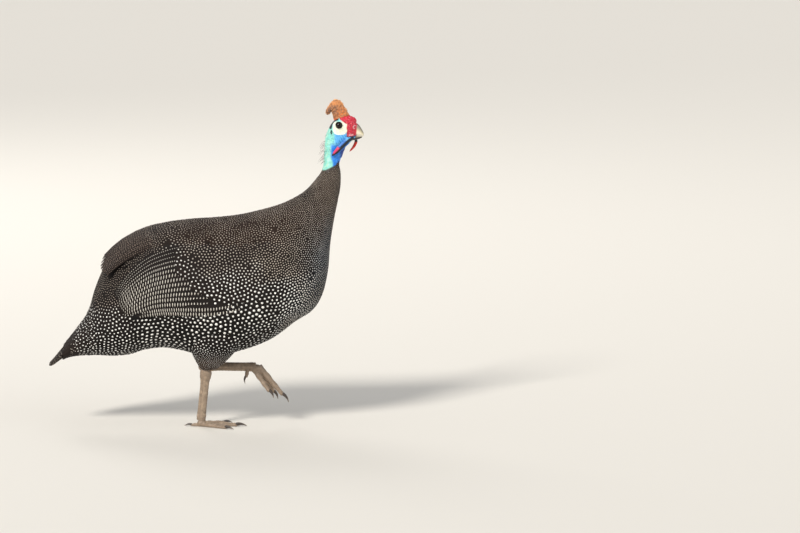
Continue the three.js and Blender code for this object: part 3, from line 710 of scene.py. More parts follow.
def head_colours(at):
    """Bare skin's colours by place, from soft masks in side view (x and z) and by the distance from the middle. Some of
    them are painted shade and painted highlights, each marked where it is laid.
    """
    x, z, out = at[:, 0], at[:, 2], np.abs(at[:, 1] - MIDLINE)
    coats = Coats("#86d3c6", len(at))
    lay = coats.lay
    lay("#bfe8d6", bell(x, 170, 5) * ease(lump(at, 31, 9), -0.3, 0.9) * 0.75)
    lay("#3f9fb4", ease(lump(at, 32, 3.4), 0.25, 1.1) * bell(x, 178, 5) * bell(z, 391, 9) * 0.8)
    lay("#a3c99a", ease(lump(at, 38, 4.2), 0.25, 1.1) * bell(x, 168, 6) * 0.6)
    front = x - 176 - ease(370 - z, 0, 12) * 2.5  # the line from the nape's turquoise to the throat's blue
    lay("#1f7fe2", ease(front, -2, 2) * (1 - ease(z, 381, 389)))
    lay("#56a8f0", ease(front, 0, 5) * ease(lump(at, 33, 6), 0.1, 1) * (1 - ease(z, 376, 384)) * 0.7)
    # Painted shade: deep blue down the front edge of the throat, where the neck turns away.
    lay("#123f96", ease(front, 10.5, 14) * (1 - ease(z, 384, 390)))
    cheek = ease(x, 178.5, 183.5) * ease(z, 382, 388) * (1 - ease(z, 398.5, 402))
    lay("#6cc0f2", cheek)
    streaks = 0.5 + 0.5 * np.sin((x * 0.93 + z * 0.42 + 1.3 * lump(at, 34, 9)) * 2 * np.pi / 3.1)
    lay("#2f83d6", cheek * streaks**2 * 0.85)
    # The face patch is a rounded square about the eye.
    patch = (np.abs((x - 188.3) / 9.9) ** 3 + np.abs((z - 408.4) / 10.3) ** 3) ** (1 / 3)
    lay("#f3f5dc", 1 - ease(patch, 0.93, 1.04))
    lay("#7fdcdf", bell(x, 186.5, 6) * bell(z, 417.6, 2.6) * (1 - ease(patch, 0.93, 1.04)))
    to_eye = np.hypot(x - EYE_AT[0], z - EYE_AT[2])
    lay("#56625c", (1 - ease(np.abs(to_eye - 4.5), 0.25, 0.6)) * ease(out, 5, 7) * 0.75)
    lay("#0d1820", 1 - ease(from_line(at, BROW_LINE), 1.1, 2.3))
    lay("#101a20", (1 - ease(np.hypot((x - EAR_AT[0]) / 1.8, (z - EAR_AT[1]) / 3.6), 0.55, 1.05)) * ease(out, 6, 9))
    red = ease(x + 0.4 * lump(at, 35, 5), 196.6, 198) * ease(z - (x - 200) * 0.1, 394.9, 396)
    red = np.maximum(red, ease(z + 0.68 * (x - 187.5) + 0.5 * lump(at, 35, 5), 418, 419.6) * ease(x, 186.5, 188.5))
    lay("#c62238", red)
    lay("#8e1626", red * ease(lump(at, 36, 2.8), 0.2, 1.0) * 0.75)
    # Pink mottling on the red skin, strongest just above the gape: partly its own colour, partly painted highlight.
    lay("#ee8f98", red * ease(lump(at, 37, 2.4), 0.35, 1.1) * (0.4 + 0.6 * bell(z, 397.5, 3)))
    # Painted highlight: pale pink round the nostril and along the edge of the red skin just above the gape.
    lay("#f2c3c2", red * (bell(np.hypot(x - NOSTRIL_AT[0], (z - NOSTRIL_AT[1]) * 1.2), 2.6, 0.7)
                          + bell(z, 397.6, 0.8) * ease(x, 199, 201) * ease(207 - x, 0, 2)) * ease(out, 1, 3) * 0.8)
    # Painted shade: a near-black line in the crease of the gape between the bills.
    lay("#0c0f14", bell(z - 395.2, 0, 0.75) * ease(x, 196, 199))
    lay("#bcdcc0", bell(x, 202.2, 4.4) * bell(z, 390.6, 1.7) * ease(out, 1, 3))
    return coats.rgb


def far_wattle(at):
    """1 on the left wattle where it hangs clear of the throat."""
    return ease(at[:, 0] + (at[:, 2] - 385) * 0.2, 196.2, 197.2) * (1 - ease(at[:, 2], 390.5, 392))


def wattle_colours(colours, at, side):
    """Over the head's colours: right wattle blue with a pink-red patch above its tip, and a near-black band of painted
    shade along it and over its tip; left one red below a near-black stem of painted shade."""
    way, above = beside(at, wattle_path(side))
    out = (MIDLINE - at[:, 1]) * side
    coats = Coats("#000000", len(at))
    coats.rgb = colours  # what follows is laid over the head's own
    if side > 0:
        on = ease(out, 3.5, 5.5) * (1 - ease(np.abs(above), 4.4, 5.4))
        on = on * ease(way, 0.0, 0.02) * (1 - ease(way, 0.995, 1))
        raised = on * np.maximum(ease(out, 12.4, 13.4), 1 - ease(way, 0.3, 0.42))
        coats.lay("#2a6fc0", raised * ease(way, 0.3, 0.42))
        # Painted shade: a near-black band along the wattle's lower middle.
        coats.lay("#0a1526", raised * (1 - ease(np.abs(above + 0.9), 1.5, 2.6)))
        coats.lay("#d02e5c", raised * ease(way, 0.64, 0.7) * (1 - ease(way, 0.9, 0.94)) * ease(above, -0.6, 0.3))
        # Painted shade: near black over the wattle's tip.
        coats.lay("#0a1526", raised * ease(way, 0.93, 0.97))
        return coats.rgb
    on = far_wattle(at) * (1 - ease(np.abs(above), 3, 4))
    # Painted shade: the left wattle near black on its upper part, where it hangs under the lower bill.
    coats.lay("#141a22", on)
    coats.lay("#e2311a", on * ease(way, 0.36, 0.44))
    return coats.rgb


def casque_colours(at):
    """Orange-brown horn, grey-brown in the middle of the rear lobe, with painted highlights: peach along its top ridge
    and lighter orange over its top.
    """
    x, z, out = at[:, 0], at[:, 2], np.abs(at[:, 1] - MIDLINE)
    coats = Coats("#ad7144", len(at))
    coats.lay("#7d563f", ease(lump(at, 41, 5), 0.0, 1.0) * 0.75)
    coats.lay("#d0722e", bell(x, 191, 7) * bell(z, 426, 6) * ease(lump(at, 43, 4), -0.6, 0.6))
    lobe = bell(np.hypot(x - 176, (z - 431) * 0.8), 0, 9)
    coats.lay("#5d473d", lobe * ease(lump(at, 42, 3.0), -0.7, 0.3) * ease(out, 0.8, 2.5) * 0.9)
    # Painted highlight: peach along the ridge, which is the upper edge in side view.
    coats.lay("#e6b486", (1 - ease(out, 0.7, 2.6)) * ease(z, 419, 423) * 0.8)
    # Painted highlight: lighter orange over the top.
    coats.lay("#dc8f4c", bell(z, 440, 4) * 0.5)
    coats.lay("#c4562c", (1 - ease(z, 417.5, 421.5)) * 0.8)
    return coats.rgb


def bill_colours(rung, angle, upper):
    """Upper bill cream with a whitish tip, its upper sides greyer and its ridge near black by painted shade; lower bill
    painted dark as in shade under the upper bill, with a pale upper edge.
    """
    side = np.abs((angle + 180) % 360 - 180)
    if upper:
        coats = Coats("#cfc3a2", len(rung))
        # Painted shade: the upper sides greyer.
        coats.lay("#8e8674", (1 - ease(side, 50, 95)) * (1 - ease(rung, 3.2, 4.2)))
        coats.lay("#efe6cc", ease(side, 85, 120))
        # Painted shade: a near-black line along the ridge.
        coats.lay("#2c2b2c", (1 - ease(side, 16, 34)) * (1 - ease(rung, 4.3, 5)))
        coats.lay("#f6f1e6", ease(rung, 3.9, 4.6))
        coats.lay("#b92438", 1 - ease(rung, 1.5, 1.85))
        return coats.rgb
    # Painted shade: the lower bill dark all over, as in shade under the upper bill; its upper edge stays paler.
    coats = Coats("#35322f", len(rung))
    coats.lay("#b7ab8c", (1 - ease(side, 45, 75)) * 0.7)
    return coats.rgb


def plume_colours(rung, angle, rng):
    """Ground colour of the feathers by place: grey-brown neck, warm back, the front of the breast cooler by painted
    sheen and the rear underside near black by painted shade.
    """
    side = np.abs(angle)
    coats = Coats("#1a1513", len(rung))
    coats.lay("#281d17", ease(rung, 8, 11) * (1 - ease(side, 50, 80)))
    coats.lay("#211a17", ease(rung, 14.5, 18))
    coats.lay("#382e28", ease(rung, 18, 20.5))
    # Painted sheen: a cool bluish ground on the front of the breast.
    coats.lay("#20242a", ease(rung, 13.5, 16) * ease(side, 95, 130) * (1 - ease(rung, 18.5, 20)))
    # Painted shade: the rear underside near black.
    coats.lay("#110e0c", ease(side, 95, 125) * (1 - ease(rung, 12, 14.5)))
    coats.lay("#241c18", 1 - ease(rung, 3, 5))
    return coats.rgb * rng.uniform(0.84, 1.14, (len(rung), 1))


def spot_colours(at):
    """Spots' tint by place: white where they are large, grey-brown where fine, and bluish on the front of the breast by
    a painted sheen.
    """
    x, z, size = at[:, 0], at[:, 2], spot_field(at)[1]
    coats = Coats("#c0b2a3", len(at))
    coats.lay("#d2c6b8", ease(size, 1.35, 2.0))
    coats.lay("#fffdf8", ease(size, 1.7, 2.4))
    # Painted sheen: bluish spots on the front of the breast.
    coats.lay("#c3cad0", bell(x, 160, 20) * bell(z, 235, 35) * 0.7)
    coats.lay("#a89b8c", ease(z, 285, 320) * 0.9)
    coats.lay("#b3a596", ease(-x, 165, 185) * 0.85)
    return coats.rgb


def under_coat(at):
    """The coat's ground colour, with its painted sheen and painted shade, at points of the skin, from the nearest place
    of a coarse grid over the body.
    """
    rung, angle = (v.ravel() for v in np.meshgrid(np.linspace(2, 23, 85), np.arange(-180, 180, 7.5), indexing="ij"))
    near = nearest(at, on_body(rung, angle), 1)[:, 0]
    return plume_colours(rung[near], angle[near], np.random.default_rng(3))


def trunk_skin(depth):
    """The trunk's skin: ovals over the rungs from the tail's root to inside the neck, sunk by the coat's depth."""
    rung = np.concatenate([np.linspace(3.2, 20, 90), np.linspace(20.15, NECK_RUNG + 1.2, 14)])
    angle = np.arange(0, 360, 360 / 96)
    sunk = depth * (1 - ease(rung, 19, 21.5)) + 0.5
    rings = on_body(*np.meshgrid(rung, angle, indexing="ij"), -sunk[:, None])
    return faced_out(make_mesh("trunk", *closed_tube(rings)))


def wattle_path(side):
    """Middle line of a wattle from the gape to its tip: the right one laid back, the left one hanging."""
    if side > 0:
        points = [(206.5, -5, 395.2), (198.6, -12, 390.4), (187.8, -15.4, 380.4), (177.2, -14.6, 370.2)]
    else:
        points = [(206, 4, 397), (209.5, 8.5, 388), (206.5, 10.5, 380), (200.5, 9, 373.2)]
    return [(x, MIDLINE + y, z) for x, y, z in points]


def wattle_tube(side):
    """A wattle: ovals along its path that swell by a power of a sine."""
    width, thick = (4.4, 1.9) if side > 0 else (2.1, 1.6)
    swell = lambda t: np.sin(np.pi * np.minimum(1, 0.12 + 0.86 * t)) ** 0.6
    return sweep(wattle_path(side), lambda t: width * swell(t), lambda t: thick * (0.5 + 0.5 * swell(t)), 40, 28)


def ball(at, radii, rows=24, sides=40, turn=0.0):
    """Ellipsoid: rings of radius sin, at height cos, stretched by the radii and turned about Y."""
    polar = np.linspace(0.04, np.pi - 0.04, rows)[:, None]
    a = np.linspace(0, 2 * np.pi, sides, endpoint=False)[None]
    shape = np.stack([np.sin(polar) * np.cos(a), np.sin(polar) * np.sin(a), np.cos(polar) + 0 * a], -1) * radii
    c, s = math.cos(math.radians(turn)), math.sin(math.radians(turn))
    turned = np.stack([shape[..., 0] * c + shape[..., 2] * s, shape[..., 1], shape[..., 2] * c - shape[..., 0] * s], -1)
    return closed_tube(turned + np.array(at, float))


def head_skin():
    """Neck and head as one skin: remeshed from the rungs, forehead and wattles, then pushed into lids and folds."""
    rung = np.linspace(20.4, LAST_RUNG, 130)
    angle = np.arange(0, 360, 360 / 96)
    rings = on_body(*np.meshgrid(rung, angle, indexing="ij"), -0.35)
    head = faced_out(make_mesh("head", *closed_tube(rings)))
    for part in (ball((FOREHEAD[0][0], MIDLINE, FOREHEAD[0][1]), FOREHEAD[1]), wattle_tube(1), wattle_tube(-1)):
        united(head, faced_out(make_mesh("part", *part)))
    use_modifier(head, "REMESH", mode="VOXEL", voxel_size=0.5 * MM, use_smooth_shade=True)
    use_modifier(head, "SMOOTH", factor=0.5, iterations=5)
    at, normal = points_of(head), normals_of(head)
    x, z, side = at[:, 0], at[:, 2], at[:, 1] - MIDLINE
    out = np.abs(side)
    skull = (1 - ease(out, 13.2, 14.2)) * (1 - far_wattle(at))  # leaves the wattles alone
    flank = ease(out, 4.5, 8) * skull
    to_eye = np.hypot(x - EYE_AT[0], (z - EYE_AT[2]) * 1.02)
    push = np.zeros(len(at))
    push += flank * 1.5 * bell(to_eye, 5.1, 0.8)
    push += flank * 0.35 * bell(to_eye, 7.3, 0.8) + flank * 0.5 * (1 - ease(to_eye, 6, 11))
    push -= flank * 3.4 * (1 - ease(to_eye, EYE_OPEN - 0.5, EYE_OPEN + 0.25))
    to_ear = np.hypot((x - EAR_AT[0]) / 1.4, (z - EAR_AT[1]) / 2.0)
    push += flank * (0.55 * bell(to_ear, 1.55, 0.4) - 2.4 * (1 - ease(to_ear, 0.5, 1.15)))
    to_nostril = np.hypot((x - NOSTRIL_AT[0]) * 0.75, (z - NOSTRIL_AT[1]) * 1.5)
    push += ease(out, 2, 4) * (0.6 * bell(to_nostril, 2.3, 0.7) - 1.8 * (1 - ease(to_nostril, 0.8, 1.5)))
    red = ease(x + (z - 408) * 0.22, 194, 198)
    push += red * skull * 0.4 * lump(at, 5, 3.4)
    creases = np.sin((z + 0.35 * x + 1.6 * lump(at, 9, 14)) * 2 * np.pi / 2.6)
    push += skull * 0.22 * creases * ease(398 - z, 0, 8) + skull * 0.3 * lump(at, 11, 7) * ease(400 - z, 0, 10)
    push += 0.14 * lump(at, 13, 2.4) * (1 - skull)
    mouth = np.abs(z - 395.4 + (x - 204) * 0.03)
    push -= ease(x, 193, 197) * 0.9 * (1 - ease(mouth, 0.25, 0.8)) * ease(out, 2, 4)
    move_points(head, at + normal * push[:, None])
    return head


# Rungs of a thigh: back x and z, front x and z, half width, and how far out its middle stands.
THIGH_RUNGS = np.array([
    (-12, 150, 66, 150, 25, 40), (-13, 124, 56, 124, 23, 36), (-11, 106, 45, 106, 19, 30), (-6, 93, 33.5, 93, 14, 24),
    (-1.5, 84, 24, 84, 10, 18), (1, 80.6, 19.5, 80.6, 7.6, 16),
], float)
LAST_THIGH = len(THIGH_RUNGS) - 1


def on_thigh(side):
    """Surface of one thigh, as on_body; the sixth number is how far out from the middle plane its middle stands."""
    def surface(rung, angle, lift=0.0):
        rows = curve_through(THIGH_RUNGS, rung)
        flat = np.concatenate([rows[..., :5], np.zeros_like(rows[..., :1])], -1)
        return oval(flat, angle, lift, MIDLINE - side * rows[..., 5])

    return surface, steps_over(surface, LAST_THIGH, -1)


# Hock and ankle of the planted right leg and the lifted left one.
LEGS = {
    1: {"hock": (6.5, -10, 77), "ankle": (-1, 0, 9)},
    -1: {"hock": (2, MIDLINE + 17, 79), "ankle": (73, MIDLINE + 11, 79)},
}
# Toes: turn from straight ahead in degrees, length, length of the claw, height, half width.
TOES = {"inner": (33, 37, 11, 8.4, 4.1), "middle": (0, 48, 13, 9, 4.4), "outer": (-31, 40, 11, 8.4, 4.1),
        "hind": (172, 15, 9, 6.4, 3.2)}
# Lifted foot: shift of each toe from the ankle along x and z, and its pitch in degrees.
LIFTED_TOES = {"middle": (3, -4, 48), "inner": (-5, -5, 52), "outer": (1, -5, 56), "hind": (-8, 0, -75)}


TOE_TAPER = 0.42  # share of its girth that a toe loses towards the tip


def toe_place(side, name):
    """Turns toe space, with the toe along +X and its sole at z = 0, into place: a function of points."""
    turn = math.radians(side * TOES[name][0] * (0.4 if side < 0 and name != "hind" else 1))
    x, z, pitch = LIFTED_TOES[name] if side < 0 else (0, 0, 0)
    pitch = math.radians(pitch)
    origin = np.array(LEGS[-1]["ankle"]) + (x, 0, z) if side < 0 else np.zeros(3)
    about_z = np.array([(math.cos(turn), -math.sin(turn), 0), (math.sin(turn), math.cos(turn), 0), (0, 0, 1)])
    about_y = np.array([(math.cos(pitch), 0, math.sin(pitch)), (0, 1, 0), (-math.sin(pitch), 0, math.cos(pitch))])
    return lambda points: points @ (about_y @ about_z).T + origin


def toe_size(name, t):
    """Half height and half width of a toe along its way, with soft pads under its joints."""
    _, _, _, high, wide = TOES[name]
    pads = 1 + 0.1 * np.cos(t * 3 * 2 * np.pi) - 0.3 * ease(t, 0.93, 1.0)
    taper = (1 - TOE_TAPER * t) * pads
    return high / 2 * taper, wide * taper


def toe_surface(side, name):
    """Surface of one toe by the way along it and the angle from its top."""
    _, length, _, thick, _ = TOES[name]

    def surface(t, angle, lift=0.0):
        high, wide = toe_size(name, t)
        c, s = np.cos(np.radians(angle)), np.sin(np.radians(angle))
        z = thick / 2 * (1 - TOE_TAPER * t) - 0.9 + (high + lift) * c
        if side > 0:
            z = np.maximum(z, 0.15)
        return toe_place(side, name)(np.stack(np.broadcast_arrays(length * t, (wide + lift) * s, z), -1))

    return surface


def toe_tube(side, name):
    """A toe as a closed tube that begins inside the ball of the foot."""
    t, angle = np.meshgrid(np.linspace(-0.06, 1, 44), np.arange(0, 360, 15), indexing="ij")
    return closed_tube(toe_surface(side, name)(t, angle))


def shank_radii(t):
    """Half depth and half width of a shank, 0 at the hock and 1 at the ankle, thick at both joints."""
    swell = 1 + 0.5 * bell(t, 0.03, 0.13) + 0.16 * bell(t, 1, 0.12)
    return 5.4 * swell, 4.1 * swell


def shank_path(side):
    """Five even points from hock to ankle, so that the way along is the share of the length."""
    hock, ankle = (np.array(LEGS[side][key], float) for key in ("hock", "ankle"))
    return [hock + (ankle - hock) * k for k in (0, 0.25, 0.5, 0.75, 1)]


def leg_skin(side):
    """Shank, ball and toes of one leg, remeshed together so that no joint shows."""
    ankle = np.array(LEGS[side]["ankle"], float)
    path = shank_path(side)
    leg = make_mesh("leg", *sweep(path, lambda t: shank_radii(t)[0], lambda t: shank_radii(t)[1], 60))
    united(faced_out(leg), faced_out(make_mesh("part", *ball(path[0], (7.4, 5.9, 7.6)))))
    centre = (toe_place(side, "middle")(np.zeros((1, 3)))[0] + ankle) / 2
    parts = [ball(centre, (5.8, 5.5, 5.6))] + [toe_tube(side, name) for name in TOES]
    for part in parts:
        united(faced_out(leg), faced_out(make_mesh("part", *part)))
    use_modifier(leg, "REMESH", mode="VOXEL", voxel_size=0.62 * MM, use_smooth_shade=True)
    use_modifier(leg, "SMOOTH", factor=0.5, iterations=6)
    at = points_of(leg)
    at[:, 2] = np.maximum(at[:, 2], 0.1)
    move_points(leg, at)
    return leg


# Spot pitch and spot size in millimetres, as seen at places in side view: x, z, pitch, size.
SPOT_FIELD = np.array([
    (174, 330, 2.4, 0.95), (150, 290, 2.9, 1.15), (66, 292, 3.3, 1.2), (0, 275, 3.4, 1.25), (-82, 255, 3.4, 1.2),
    (-130, 205, 3.5, 1.2), (-157, 132, 5.9, 2.3), (-190, 105, 4.8, 1.8), (-116, 125, 6.6, 3.0), (-69, 119, 7.6, 3.7),
    (-15, 119, 8.0, 4.0), (32, 132, 8.3, 4.2), (36, 170, 7.6, 3.6), (53, 194, 6.0, 2.7), (-22, 187, 5.9, 2.5),
    (-28, 228, 5.3, 2.3), (26, 241, 4.4, 1.8), (73, 221, 4.5, 2.0), (73, 255, 3.6, 1.45), (107, 187, 5.6, 2.7),
    (100, 228, 3.7, 1.6), (86, 146, 6.0, 2.9), (120, 139, 4.2, 2.0), (134, 241, 3.3, 1.45), (147, 200, 4.2, 2.0),
    (76, 168, 7.4, 3.6),
    (163, 262, 2.9, 1.35), (167, 200, 3.6, 1.7), (66, 112, 6.2, 2.7), (0, 100, 6.4, 2.7), (-90, 104, 6.0, 2.4),
    (0, 248, 4.5, 1.8),
])


def spot_field(at):
    """Pitch and size of the spots at points: means of the places above, weighted by one over distance to the fourth."""
    gap = ((at[:, None, [0, 2]] - SPOT_FIELD[None, :, :2]) ** 2).sum(-1)
    weight = 1 / (gap + 40) ** 2
    return (weight @ SPOT_FIELD[:, 2:] / weight.sum(1, keepdims=True)).T


def spot_pitch(rung, angle):
    """Distance between spots."""
    return spot_field(on_body(rung, angle))[0]


def feather_spacing(rung, angle):
    """Distance between the roots of contour feathers: close on the neck, wide on the flank."""
    return 3.0 + 0.92 * spot_pitch(rung, angle)


def under_wing(rung, angle):
    """True where the folded wing hides the trunk."""
    side = np.abs(angle)
    return (rung > 7.3) & (rung < 13.0) & (side > 50) & (side < 94)


def bare(rung, angle):
    """True above the slanting edge of the feathers on the neck."""
    at = on_body(rung, angle)
    return at[:, 2] > feather_edge(at[:, 0]) + 3


def body_vanes(look):
    """Contour feathers of trunk, neck and rump."""
    rung, angle = scatter(body_steps, on_body, feather_spacing, (2.6, 23.4), (-180, 180), 3)
    keep = ~(under_wing(rung, angle) | bare(rung, angle))
    rung, angle = rung[keep], angle[keep]
    rng = np.random.default_rng(8)
    spacing = feather_spacing(rung, angle)
    neck = ease(rung, 17, 20)
    length = spacing * 2.3 * rng.uniform(0.93, 1.07, len(rung))
    return Vanes(
        on_body, body_steps, body_unwrap, rung, angle, length, spacing * 0.78,
        way=rng.normal(0, 4, len(rung)) + np.sign(angle) * 9 * ease(np.abs(angle), 20, 80) * (1 - ease(rung, 13, 17)),
        low=-2.4 + 1.0 * neck, high=(0.9 - 0.5 * neck) * look.loft / 2.4, cup=0.36, tilt=rng.normal(0, 0.1, len(rung)),
        droop=0.5, thick=0.32,
    )


def carried(vanes, rung, angle):
    """The vane that lies on top at each place, the way along it and the distance aside, and whether there is one.

    A place is measured in the own directions of the sixteen vanes whose middles are nearest and of every long vane, and
    of those that reach over it the highest is taken."""
    near = nearest(vanes.surface(rung, angle), vanes.place(np.arange(len(vanes.rung)), 0.7, 0.0, 0.0), 16)
    long_ones = np.flatnonzero(vanes.length > 60)
    near = np.hstack([near, np.broadcast_to(long_ones, (len(near), len(long_ones)))])
    turn = (angle[:, None] - vanes.angle[near] + 180) % 360 - 180
    v = vanes.along[near] * (rung[:, None] - vanes.rung[near])[..., None] + vanes.around[near] * turn[..., None]
    s = (v * vanes.lie[near]).sum(-1) / vanes.length[near]
    aside = (v * vanes.side[near]).sum(-1) - vanes.bend[near] * s**2 * vanes.length[near]
    share = aside / vanes.width[near]
    over = (s > 0.02) & (s < 0.99) & (np.abs(share) < np.interp(s, CONTOUR_SHAPE[:, 0], CONTOUR_SHAPE[:, 1]) * 0.96)
    height = np.where(over, vanes.height(near, np.clip(s, 0, 1), share), -99)
    best, row = height.argmax(1), np.arange(len(rung))
    found = over[row, best]
    return found, near[row, best], s[row, best], aside[row, best]


def contour_spots(body, wings, plain):
    """Spots over trunk, neck and coverts, evenly spread at their own pitch and each laid on the feather that shows.

    Plain holds the long feathers, which have marks of their own: a place on them is dropped, unless it is above the
    shaft of the uppermost one. Returns the spots for the body's own feathers, then those for each wing."""
    rung, angle = scatter(body_steps, on_body, spot_pitch, (3.0, 23.0), (-180, 180), 12, rounds=20)
    keep = ~bare(rung, angle)
    rung, angle = rung[keep], angle[keep]
    groups = [body, *wings, *plain]
    vanes = together(groups)
    found, owner, s, aside = carried(vanes, rung, angle)
    rung, angle, owner, s, aside = (v[found] for v in (rung, angle, owner, s, aside))
    rng = np.random.default_rng(21)
    size = spot_field(on_body(rung, angle))[1]
    size = size * rng.uniform(0.9 - 0.2 * ease(size, 2.0, 3.0), 1.14, len(rung))
    group = np.repeat(np.arange(len(groups)), [len(g.rung) for g in groups])[owner]
    place = owner - np.concatenate([[0], np.cumsum([len(g.rung) for g in groups])])[group]
    made = []
    for wanted in range(3):
        own = group == wanted
        if wanted:
            top = (group == 2 + wanted) & (place == 0) & (aside * np.sign(angle) < 2.0)
            own |= top
        made.append((vanes, spots_on(vanes, owner[own], s[own], aside[own], size[own],
                                     size[own] * rng.uniform(0.84, 1.02, own.sum()), rng.uniform(-30, 30, own.sum()))))
    return made


def in_rows(side, rungs, angles, counts):
    """Roots in rows from front to back, every other row shifted by half a step."""
    rung, angle = [], []
    for i, (at, (top, low), count) in enumerate(zip(rungs, angles, counts)):
        u = (np.arange(count) + 0.5 + (0.25 if i % 2 else -0.25)) / count
        rung.append(np.full(count, at))
        angle.append(side * (top + (low - top) * u))
    return np.concatenate(rung), np.concatenate(angle)


def covert_vanes(side):
    """Rows of wing coverts from the shoulder back to the flight feathers."""
    rungs = np.arange(14.3, 10.1, -0.27)
    way = (14.3 - rungs) / 5.1
    angles = [(64 - 20 * w ** 0.5, 80 + 22 * min(1, w * 2.2)) for w in way]
    counts = [max(3, int(round((low - top) * 1.36 / 8.4))) for top, low in angles]
    rung, angle = in_rows(side, rungs, angles, counts)
    # They reach less far back below than above.
    kept = rung > 10.1 + 1.1 * ease(np.abs(angle), 62, 98) + 1.1 * ease(np.abs(angle), 88, 100)
    rung, angle = rung[kept], angle[kept]
    rng = np.random.default_rng(31)
    back = ease(-rung, -12.4, -10.2)
    return Vanes(on_body, body_steps, body_unwrap, rung, angle, 21 + 7 * back, 6.6, way=side * 3.0,
                 low=-1.3, high=1.7 + 0.7 * back, cup=0.4, tilt=side * 0.2 + rng.normal(0, 0.05, len(rung)), droop=0.3,
                 thick=0.4)


SECONDARIES = 15
RUNG_LENGTH = 34  # millimetres from rung to rung at the wing


def rungs_ahead(u):
    """How many rungs further forward than the top one each secondary is rooted."""
    return ease(u, 0.3, 1) + 1.1 * ease(u, 0.78, 1)


def flight_vanes(side):
    """Secondaries: long vanes from under the coverts to the wing's tip, curving down behind; the lower reach less."""
    u = np.linspace(0, 1, SECONDARIES)
    ahead = rungs_ahead(u)
    rung, angle = 10.75 + ahead, side * (41 + 61 * u)
    length = 160 - 20 * u + RUNG_LENGTH * ahead
    return Vanes(on_body, body_steps, body_unwrap, rung, angle, length, 8.8, way=side * (3 - 2 * u), low=-1.2,
                 high=2.6, cup=0.35, tilt=side * 0.85, droop=1.0, thick=0.45, bend=side * (0.2 * (1 - u) ** 1.1))


def flight_bars(vanes, side, rng):
    """Pale ticks across the open lower web of each upper secondary, tall bars that line up on the lower ones."""
    u = np.linspace(0, 1, SECONDARIES)
    step = 3.3 + 1.3 * ease(u, 0.2, 0.42)
    # The lower roots stand further forward; the first bar makes that good, so neighbours line up.
    first = 14 + RUNG_LENGTH * rungs_ahead(u)
    rows = [np.arange((first[k] + 2.3 * k) % step[k] + 10, length * 0.985, step[k]) for k, length in
            enumerate(vanes.length)]
    owner = np.concatenate([np.full(len(r), k) for k, r in enumerate(rows)])
    x = np.concatenate(rows) + rng.normal(0, 0.1, len(owner))
    s = x / vanes.length[owner]
    narrow = 1 - 0.4 * ease(s, 0.86, 1.0)
    tall = (1.5 + 4.6 * ease(u[owner], 0.12, 0.45)) * narrow * (0.72 + 0.28 * ease(s, 0.25, 0.45))
    thick = (1.25 + 0.3 * ease(u[owner], 0.2, 0.5)) * narrow
    aside = side * (5.3 + 0.5 * ease(u[owner], 0.12, 0.45)) * narrow
    return spots_on(vanes, owner, s, aside, thick, tall, side * rng.normal(-21, 3, len(owner)))


def tertial_vanes(side):
    """Long inner feathers over the rump; their tips stand clear in a small tuft over the tail."""
    u = np.linspace(0, 1, 8)
    return Vanes(on_body, body_steps, body_unwrap, 9.6 - 0.15 * u, side * (38 - 34 * u),
                 124 + 12 * np.sin(np.pi * u), 8.0, way=side * (4 - 6 * u), low=-2.6, high=3.2 - 0.6 * u, cup=0.5,
                 tilt=side * 0.5, droop=-10.0 + 1.5 * u, thick=0.45)


def primary_vanes(side):
    """Dark edges of the primaries, which show as a narrow band below the secondaries; their near-black tint, darker
    than the other wing feathers, is partly painted shade under the wing's lower edge.
    """
    u = np.linspace(0, 1, 3)
    return Vanes(on_body, body_steps, body_unwrap, 10.1 - 0.2 * u, side * (103 + 2.0 * u), 96 - 8 * u, 3.4,
                 way=side * 1.5, low=-1.0, high=1.6, cup=0.3, tilt=side * 0.3, thick=0.45)


def tail_vanes():
    """Tail: coverts over and under it and the long vanes, spread over both sides."""
    def tier(count, root, reach, length, wide, low, high, middle=0.0):
        u = np.linspace(-1, 1, count)
        around = middle + reach * u
        return Vanes(on_body, body_steps, body_unwrap, root + 0 * u, around, length * (1 - 0.22 * u**2), wide,
                     way=0.0, low=low, high=high, cup=0.5, tilt=0.6 * np.sign(u), thick=0.5)
    return [
        tier(15, 3.6, 112, 92, 8.4, -4.5, -0.3), tier(13, 4.6, 108, 60, 9.5, -3.6, 0.2),
        tier(13, 5.2, 106, 44, 8.6, -2.8, 0.6), tier(11, 4.4, 62, 52, 8.6, -3.6, 0.0, 180),
        tier(11, 5.2, 66, 40, 9, -2.8, 0.4, 180),
    ]


def tail_spots(vanes, rng):
    """Two rows of spots down each tail feather."""
    return spot_grid(vanes, 2, 12, 5.2, 1.8, rng)


def thigh_vanes(side):
    """Short feathers of the drumstick."""
    surface, steps = on_thigh(side)
    spacing = lambda rung, angle: 6.4 - 2.4 * ease(rung, 1.5, 5)
    rung, angle = scatter(steps, surface, spacing, (0.3, 4.9), (-180, 180), 17 + side)
    rng = np.random.default_rng(5)
    unwrap = lambda r, a: np.stack([0.5 + a / 800 + side * 0.24, 0.8 + 0.03 * r], -1)
    return Vanes(surface, steps, unwrap, rung, angle, spacing(rung, angle) * 2.3,
                 spacing(rung, angle) * 0.76, way=180.0,
                 low=-1.2, high=1.1, cup=0.3, tilt=rng.normal(0, 0.1, len(rung)), droop=0.3, thick=0.3)


